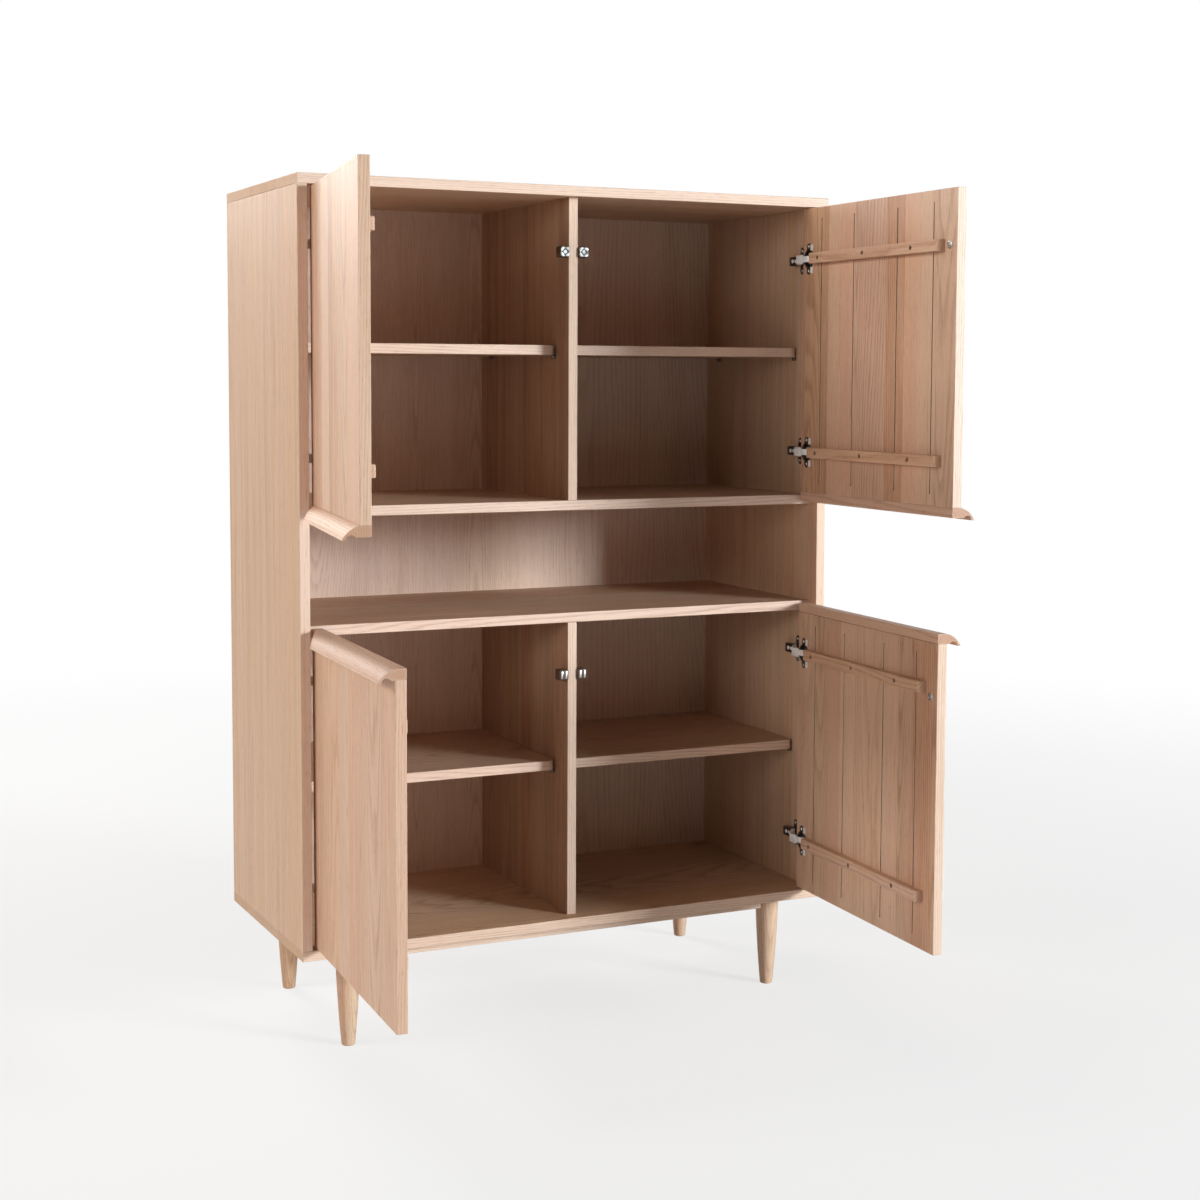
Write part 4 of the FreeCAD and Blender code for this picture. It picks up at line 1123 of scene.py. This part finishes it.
class CABINET_OT_hinge_arms(bpy.types.Operator):
    """Makes the hinge arms: a channel on the plate, a cranked neck, a nose and two screws"""

    bl_idname = "cabinet.hinge_arms"
    bl_label = "Hinge arms"

    def execute(self, context):
        width = context.scene.cabinet_hinges.arm_width
        half = width / 2.0
        shape, rear = bmesh.new(), bmesh.new()
        for side, height in hinges():
            place = in_case(side, 0.0, 0.0, height)
            slab(shape, ARM_OUTLINE, width, ARM_ROUNDING, place @ moved(0.0, 0.0, -half))
            for (low, high, rounding), reach in (
                (CHANNEL, half + CHANNEL_PROUD), (CLIP, CLIP_HALF)
            ):
                rounded_block(rear, (*low, -reach), (*high, reach), rounding, place)
            for behind, radius in ADJUSTING_SCREWS:
                head = on_side(side, ADJUSTING_INWARD, behind, height)
                screw(shape, head, radius, *ADJUSTING_SIZES)
            for flip in (180.0, 0.0):
                pin = in_case(side, *NOSE_PIN, height) @ turned(flip, "X")
                build_up(shape, NOSE_PIN_HEAD, SCREW_SIDES, pin @ moved(0.0, 0.0, half))
        # Painted shade: the channel behind each arm takes the dark plate steel, while the arm takes the
        # near-white metal
        for name, made, finish in (
            ("hinge_arm_set", shape, "arm_zinc"), ("arm_channel_set", rear, "hinge_plate_steel")
        ):
            add_piece(name, made, metal(context, finish), "cabinet", "hinge_arms")
        return {"FINISHED"}


class CABINET_OT_mounting_plates(bpy.types.Operator):
    """Makes the winged mounting plates under the hinge arms"""

    bl_idname = "cabinet.mounting_plates"
    bl_label = "Mounting plates"

    def execute(self, context):
        sizes = context.scene.cabinet_hinges
        wing = capsule(sizes.wing_span / 2.0, sizes.wing_width / 2.0)
        thick, behind = sizes.wing_thickness, sizes.plate_behind_front
        half = sizes.base_half_height
        steps = [(wing, 0.0), (wing, 0.7 * thick), (less(wing, 0.0006), thick)]
        boss_radius = sizes.boss_radius
        boss = [
            (boss_radius, 0.9 * thick), (boss_radius, 1.1 * thick),
            (boss_radius - 0.0005, 1.25 * thick),
        ]
        low = (0.0, behind - sizes.base_before, -half)
        high = (sizes.base_thickness, behind + sizes.base_behind, half)
        shape = bmesh.new()
        for side, height in hinges():
            build_up(shape, steps, WING_SIDES, on_side(side, 0.0, behind, height))
            for way in (-0.5, 0.5):
                there = height + way * sizes.plate_screw_spacing
                build_up(shape, boss, BOSS_SIDES, on_side(side, 0.0, behind, there))
            rounded_block(shape, low, high, PLATE_ROUNDING, in_case(side, 0.0, 0.0, height))
        steel = metal(context, "hinge_plate_steel")
        node = "hinge_mounting_plates"
        add_piece("mounting_plate_set", shape, steel, "cabinet", node)
        return {"FINISHED"}


# Screws: the radius and height of the head, and the radius and length of the shank
PLATE_SCREW = (0.004, 0.0016, 0.002, 0.015)
CUP_SCREW = (0.0035, 0.0015, 0.00175, 0.0132)
STRIKE_SCREW = (0.003, 0.001, 0.0015, 0.0118)
BATTEN_SCREW = (0.00375, 0.003, 0.002, 0.021)
STRIKE_SCREW_DEPTH = 0.0008
BATTEN_BORE = 0.006

# How far each screw is turned, in degrees for a step along its row and for a metre of height
PLATE_SPIN = (31.0, 200.0)
CUP_SPIN = (47.0, 130.0)
BATTEN_SPIN = (53.0, 90.0)
STRIKE_SPIN = 35.0


def spun(place, spin, step, height):
    """A screw's frame, turned by an angle of its own."""
    return place @ turned(spin[0] * step + spin[1] * height, "Z")


class CABINET_OT_screws(bpy.types.Operator):
    """Makes the cross-head screws of the plates, the cups, the strike plates and the battens"""

    bl_idname = "cabinet.screws"
    bl_label = "Screws"

    def execute(self, context):
        sizes = context.scene.cabinet_hinges
        nickel = metal(context, "bright_nickel")
        shape = bmesh.new()
        for side, height in hinges():
            for way in (-0.5, 0.5):
                there = height + way * sizes.plate_screw_spacing
                place = on_side(side, sizes.wing_thickness, sizes.plate_behind_front, there)
                screw(shape, spun(place, PLATE_SPIN, way, height), *PLATE_SCREW)
        add_piece("plate_screw_set", shape, nickel, "cabinet", "hinge_plate_screws")
        for door in DOORS:
            body = door + "_door"
            shape = self.hardware_screws(context, door)
            node = door + "_hardware_screws"
            add_piece(door + "_cup_screws", shape, nickel, body, node)
            shape = self.batten_screws(door)
            node = door + "_batten_screws"
            add_piece(door + "_batten_screw_set", shape, nickel, body, node)
        return {"FINISHED"}

    def hardware_screws(self, context, door):
        """The screws of a door's two cups and of its strike plate."""
        sizes = context.scene.cabinet_hinges
        shape = bmesh.new()
        for height in hinge_heights(door):
            for way in (-0.5, 0.5):
                there = height + way * sizes.cup_screw_spacing
                depth = DOOR_INNER_FACE + sizes.flange_thickness
                place = on_door(door, sizes.cup_from_edge, depth, there)
                screw(shape, spun(place, CUP_SPIN, way, height), *CUP_SCREW)
        from_edge = context.scene.cabinet_catches.strike_from_edge
        depth = DOOR_INNER_FACE + STRIKE_SCREW_DEPTH
        place = on_door(door, from_edge, depth, strike_height(door))
        screw(shape, place @ turned(STRIKE_SPIN, "Z"), *STRIKE_SCREW, sunk=True)
        return shape

    def batten_screws(self, door):
        """The screws of a door's two battens, sunk in their bores."""
        shape = bmesh.new()
        depth = DOOR_INNER_FACE + BATTEN_THICKNESS - BATTEN_BORE
        for height in hinge_heights(door):
            for count, distance in enumerate(BATTEN_SCREWS):
                place = on_door(door, distance, depth, height)
                screw(shape, spun(place, BATTEN_SPIN, count, height), *BATTEN_SCREW)
        return shape


class CABINET_OT_strike_plates(bpy.types.Operator):
    """Makes the round strike plates on the doors"""

    bl_idname = "cabinet.strike_plates"
    bl_label = "Strike plates"

    def execute(self, context):
        sizes = context.scene.cabinet_catches
        outer, thick = sizes.strike_radius, sizes.strike_thickness
        steps = [
            (outer, 0.0), (outer, 0.55 * thick), (outer - 0.0003, 0.85 * thick),
            (outer - 0.0008, thick), (0.0038, thick), (0.0031, 0.55 * thick),
            (0.0030, 0.4 * thick),
        ]
        steel = metal(context, "pole_face_steel")
        for door in DOORS:
            shape = bmesh.new()
            place = on_door(door, sizes.strike_from_edge, DOOR_INNER_FACE, strike_height(door))
            build_up(shape, steps, STRIKE_SIDES, place)
            body, node = door + "_door", door + "_strike_plate"
            add_piece(door + "_strike_disc", shape, steel, body, node)
        return {"FINISHED"}


# A catch's pressed face: its mean radius, the swing of its four lobes and its depth behind
FACE_RADIUS = 0.0106
FACE_SWING = 0.0014
FACE_BEHIND = -0.004
FACE_GROOVE = -0.0016


class CABINET_OT_catches(bpy.types.Operator):
    """Makes the magnetic catches on the dividers and their steel faces"""

    bl_idname = "cabinet.catches"
    bl_label = "Catches"

    def execute(self, context):
        sizes = context.scene.cabinet_catches
        look = context.scene.cabinet_metal
        housings, poles, faces = bmesh.new(), bmesh.new(), bmesh.new()
        middle, half = sizes.width / 2.0, sizes.height / 2.0
        for door in DOORS:
            place = on_divider(DOORS[door][0], 0.0, -sizes.face, strike_height(door))
            pressed = door.startswith("upper")
            front = -sizes.face_thickness if pressed else 0.0
            low, high = (0.0, -half, -sizes.depth), (sizes.width, half, front)
            rounded_block(housings, low, high, sizes.rounding, place, steps=4)
            if pressed:
                self.add_face(faces, sizes.pole_proud, place @ moved(middle, 0.0, 0.0))
                continue
            for way in (-0.5, 0.5):
                across = middle + way * sizes.pole_spacing
                reach, rise = sizes.pole_width / 2.0, sizes.pole_height / 2.0
                low = (across - reach, -rise, -sizes.pole_depth)
                high = (across + reach, rise, sizes.pole_proud)
                rounded_block(poles, low, high, POLE_ROUNDING, place)
        plastic = plastic_material("catch_plastic", look.housing, look.housing_scuffed)
        slot, node = "catch_housing", "catch_housings"
        add_piece("catch_housing_set", housings, plastic, "cabinet", node)
        for name, shape, finish in (
            ("catch_pole_set", poles, "pole_face_steel"),
            ("catch_face_set", faces, "catch_face_steel"),
        ):
            steel, node = metal(context, finish), "catch_pole_plates"
            add_piece(name, shape, steel, "cabinet", node)
        return {"FINISHED"}

    def add_face(self, shape, proud, place):
        """A pressed steel face with four lobes and a raised middle in a diamond groove."""

        def lobes(angle):
            return FACE_RADIUS - FACE_SWING * math.cos(4.0 * angle)

        steps = [
            (lobes, FACE_BEHIND), (lobes, -0.0006), (less(lobes, 0.0004), 0.3 * proud),
            (less(lobes, 0.0012), 0.9 * proud), (less(lobes, 0.0017), proud),
            (diamond(0.0074), 0.5 * proud), (diamond(0.0068), FACE_GROOVE),
            (diamond(0.0054), FACE_GROOVE), (diamond(0.0050), 0.4 * proud),
            (diamond(0.0042), proud),
        ]
        build_up(shape, steps, FACE_SIDES, place)


class CABINET_OT_shelf_pins(bpy.types.Operator):
    """Makes the pins under the adjustable shelves"""

    bl_idname = "cabinet.shelf_pins"
    bl_label = "Shelf pins"

    def execute(self, context):
        sizes = context.scene.cabinet_catches
        radius, head, length = sizes.pin_radius, sizes.pin_head_radius, sizes.pin_length
        neck = head - 0.0005
        steps = [
            (radius - 0.0005, -length), (radius, -length + 0.0005), (radius, 0.0), (head, 0.0),
            (head, 0.0011), (neck, 0.0015), (neck, 0.0019), (head, 0.0023),
            (head, length - 0.0012), (neck, length - 0.0003), (head - 0.0014, length),
        ]
        walls = (
            (-INNER_HALF_WIDTH, 90.0), (-DIVIDER_HALF, -90.0), (DIVIDER_HALF, 90.0),
            (INNER_HALF_WIDTH, -90.0),
        )
        shape = bmesh.new()
        for underside in SHELF_UNDERSIDES:
            for y in PIN_PLACES:
                for wall, way in walls:
                    place = moved(wall, y, underside - head) @ turned(way, "Y")
                    build_up(shape, steps, PIN_SIDES, place)
        steel = metal(context, "hinge_plate_steel")
        add_piece("shelf_pin_set", shape, steel, "cabinet", "shelf_pins")
        return {"FINISHED"}


class CABINET_OT_leg_studs(bpy.types.Operator):
    """Gives the threaded studs in the legs their metal"""

    bl_idname = "cabinet.leg_studs"
    bl_label = "Leg studs"

    def execute(self, context):
        paint("leg_studs", metal(context, "hinge_plate_steel"))
        return {"FINISHED"}


# The floor: the share of its own white near the cabinet, and where it fades to white, in metres
FLOOR_WHITE = 0.72
FADE_START = 1.0
FADE_END = 5.0

# The camera of the photograph: its place in metres, its turns in degrees, its film in
# millimetres and its shift as a share of the picture
CAMERA_PLACE = (-1.584599, -3.630095, 1.240633)
CAMERA_AZIMUTH = -25.639
CAMERA_PITCH = 4.442
CAMERA_ROLL = 0.221
CAMERA_FILM = 36.0
CAMERA_SHIFT = -0.05744
WHITE = (1.0, 1.0, 1.0, 1.0)


def add_lamp(name, look):
    """A soft lamp that faces the cabinet's middle."""
    azimuth, elevation, distance, width, tint = LAMPS[name][1:]
    turn, rise = math.radians(azimuth), math.radians(elevation)
    level = distance * math.cos(rise)
    away = Vector((-level * math.sin(turn), -level * math.cos(turn), distance * math.sin(rise)))
    data = bpy.data.lights.new(name, "AREA")
    data.shape = "RECTANGLE"
    data.size = width
    data.size_y = LAMP_HEIGHT
    data.energy = getattr(look, name)
    data.color = tint
    lamp = bpy.data.objects.new(name, data)
    lamp.location = LAMP_TARGET + away
    lamp.rotation_euler = (LAMP_TARGET - lamp.location).to_track_quat("-Z", "Y").to_euler()
    lamp.visible_camera = False
    bpy.context.scene.collection.objects.link(lamp)


def seen_rays(wiring):
    """1 where a ray comes from the camera or by way of a mirror or glass, and 0 elsewhere."""
    rays = wiring.node("ShaderNodeLightPath").outputs
    return wiring.total(rays["Is Camera Ray"], rays["Is Glossy Ray"], rays["Is Transmission Ray"])


def floor_material(look):
    """A pale floor that fades to the white round it, and keeps the shadow near the cabinet."""
    material, wiring, shader, coordinates = new_material("pale_floor")
    place = coordinates["Object"]
    cloud = wiring.noise(wiring.scaled(place, 1.5), 3.0, 0.5)
    tint = wiring.mix(wiring.times(cloud, 0.1), (*look.floor, 1.0), (0.8, 0.8, 0.8, 1.0))
    wiring.put(shader, {"Base Color": tint, "Roughness": 0.9})
    far = wiring.node("ShaderNodeVectorMath", {0: place}, operation="LENGTH").outputs["Value"]
    fade = wiring.times(wiring.step(far, FADE_START, FADE_END), 1.0 - FLOOR_WHITE)
    white = wiring.times(wiring.total(FLOOR_WHITE, fade), seen_rays(wiring), clamp=True)
    glow = wiring.node("ShaderNodeEmission", {"Color": WHITE, "Strength": 1.0})
    inputs = {0: white, 1: shader.outputs["BSDF"], 2: glow.outputs[0]}
    blend = wiring.node("ShaderNodeMixShader", inputs)
    nodes = wiring.tree.nodes
    outlet = next(node for node in nodes if node.bl_idname == "ShaderNodeOutputMaterial")
    wiring.put(outlet, {"Surface": blend.outputs[0]})
    return material


def build_sky(look):
    """A world that looks white and lights the cabinet softly."""
    world = bpy.data.worlds.new("studio_sky")
    world.use_nodes = True
    world.node_tree.nodes.clear()
    wiring = Wiring(world.node_tree)
    dim_light = {"Color": (1.0, 0.98, 0.95, 1.0), "Strength": look.sky}
    dim = wiring.node("ShaderNodeBackground", dim_light)
    white = wiring.node("ShaderNodeBackground", {"Color": WHITE, "Strength": 1.0})
    seen = wiring.times(seen_rays(wiring), 1.0, clamp=True)
    inputs = {0: seen, 1: dim.outputs[0], 2: white.outputs[0]}
    blend = wiring.node("ShaderNodeMixShader", inputs)
    wiring.node("ShaderNodeOutputWorld", {"Surface": blend.outputs[0]})
    bpy.context.scene.world = world


def add_camera(scene, lens):
    """The camera of the photograph."""
    data = bpy.data.cameras.new("photo_camera")
    data.lens = lens
    data.sensor_width = CAMERA_FILM
    data.shift_y = CAMERA_SHIFT
    camera = bpy.data.objects.new("photo_camera", data)
    turns = (CAMERA_AZIMUTH, CAMERA_PITCH, CAMERA_ROLL)
    azimuth, pitch, roll = (math.radians(angle) for angle in turns)
    flat = math.cos(pitch)
    back = Vector((math.sin(azimuth) * flat, -math.cos(azimuth) * flat, math.sin(pitch)))
    level = Vector((math.cos(azimuth), math.sin(azimuth), 0.0))
    upward = back.cross(level)
    right = level * math.cos(roll) + upward * math.sin(roll)
    top = upward * math.cos(roll) - level * math.sin(roll)
    turn = Matrix((right, top, back)).transposed()
    camera.matrix_world = moved(*CAMERA_PLACE) @ turn.to_4x4()
    scene.collection.objects.link(camera)
    scene.camera = camera


class CABINET_OT_stage(bpy.types.Operator):
    """Makes the floor, the light and the camera"""

    bl_idname = "cabinet.stage"
    bl_label = "Stage"

    def execute(self, context):
        look = context.scene.cabinet_stage
        shape = bmesh.new()
        half = look.floor_size / 2.0
        bmesh.ops.create_grid(shape, x_segments=8, y_segments=8, size=half)
        mesh = bpy.data.meshes.new("studio_floor")
        shape.to_mesh(mesh)
        shape.free()
        mesh.materials.append(floor_material(look))
        floor = bpy.data.objects.new("studio_floor", mesh)
        context.scene.collection.objects.link(floor)
        build_sky(look)
        for name in LAMPS:
            add_lamp(name, look)
        add_camera(context.scene, look.lens)
        context.scene.view_settings.view_transform = "Standard"
        return {"FINISHED"}


class CABINET_PT_sidebar(bpy.types.Panel):
    """Lists the steps that finish the cabinet"""

    bl_idname = "CABINET_PT_sidebar"
    bl_label = "Cabinet"
    bl_space_type = "VIEW_3D"
    bl_region_type = "UI"
    bl_category = "Cabinet"

    def draw(self, context):
        for step in STEPS:
            self.layout.operator(step.bl_idname)


SETTINGS = {
    "cabinet_oak": OakSettings,
    "cabinet_hinges": HingeSettings,
    "cabinet_catches": CatchSettings,
    "cabinet_metal": MetalSettings,
    "cabinet_stage": StageSettings,
}
STEPS = (
    CABINET_OT_case_oak,
    CABINET_OT_door_oak,
    CABINET_OT_base_oak,
    CABINET_OT_hinge_cups,
    CABINET_OT_hinge_arms,
    CABINET_OT_mounting_plates,
    CABINET_OT_screws,
    CABINET_OT_strike_plates,
    CABINET_OT_catches,
    CABINET_OT_shelf_pins,
    CABINET_OT_leg_studs,
    CABINET_OT_stage,
)


def register():
    """Adds the settings, the steps and the panel."""
    for kind in (*SETTINGS.values(), *STEPS, CABINET_PT_sidebar):
        bpy.utils.register_class(kind)
    for name, kind in SETTINGS.items():
        setattr(bpy.types.Scene, name, PointerProperty(type=kind))


def unregister():
    """Takes them away again."""
    for name in SETTINGS:
        delattr(bpy.types.Scene, name)
    for kind in reversed((*SETTINGS.values(), *STEPS, CABINET_PT_sidebar)):
        bpy.utils.unregister_class(kind)


def main():
    """Makes the whole scene."""
    register()
    bpy.ops.cabinet.case_oak()
    bpy.ops.cabinet.door_oak()
    bpy.ops.cabinet.base_oak()
    bpy.ops.cabinet.hinge_cups()
    bpy.ops.cabinet.hinge_arms()
    bpy.ops.cabinet.mounting_plates()
    bpy.ops.cabinet.screws()
    bpy.ops.cabinet.strike_plates()
    bpy.ops.cabinet.catches()
    bpy.ops.cabinet.shelf_pins()
    bpy.ops.cabinet.leg_studs()
    bpy.ops.cabinet.stage()


if __name__ == "__main__":
    main()
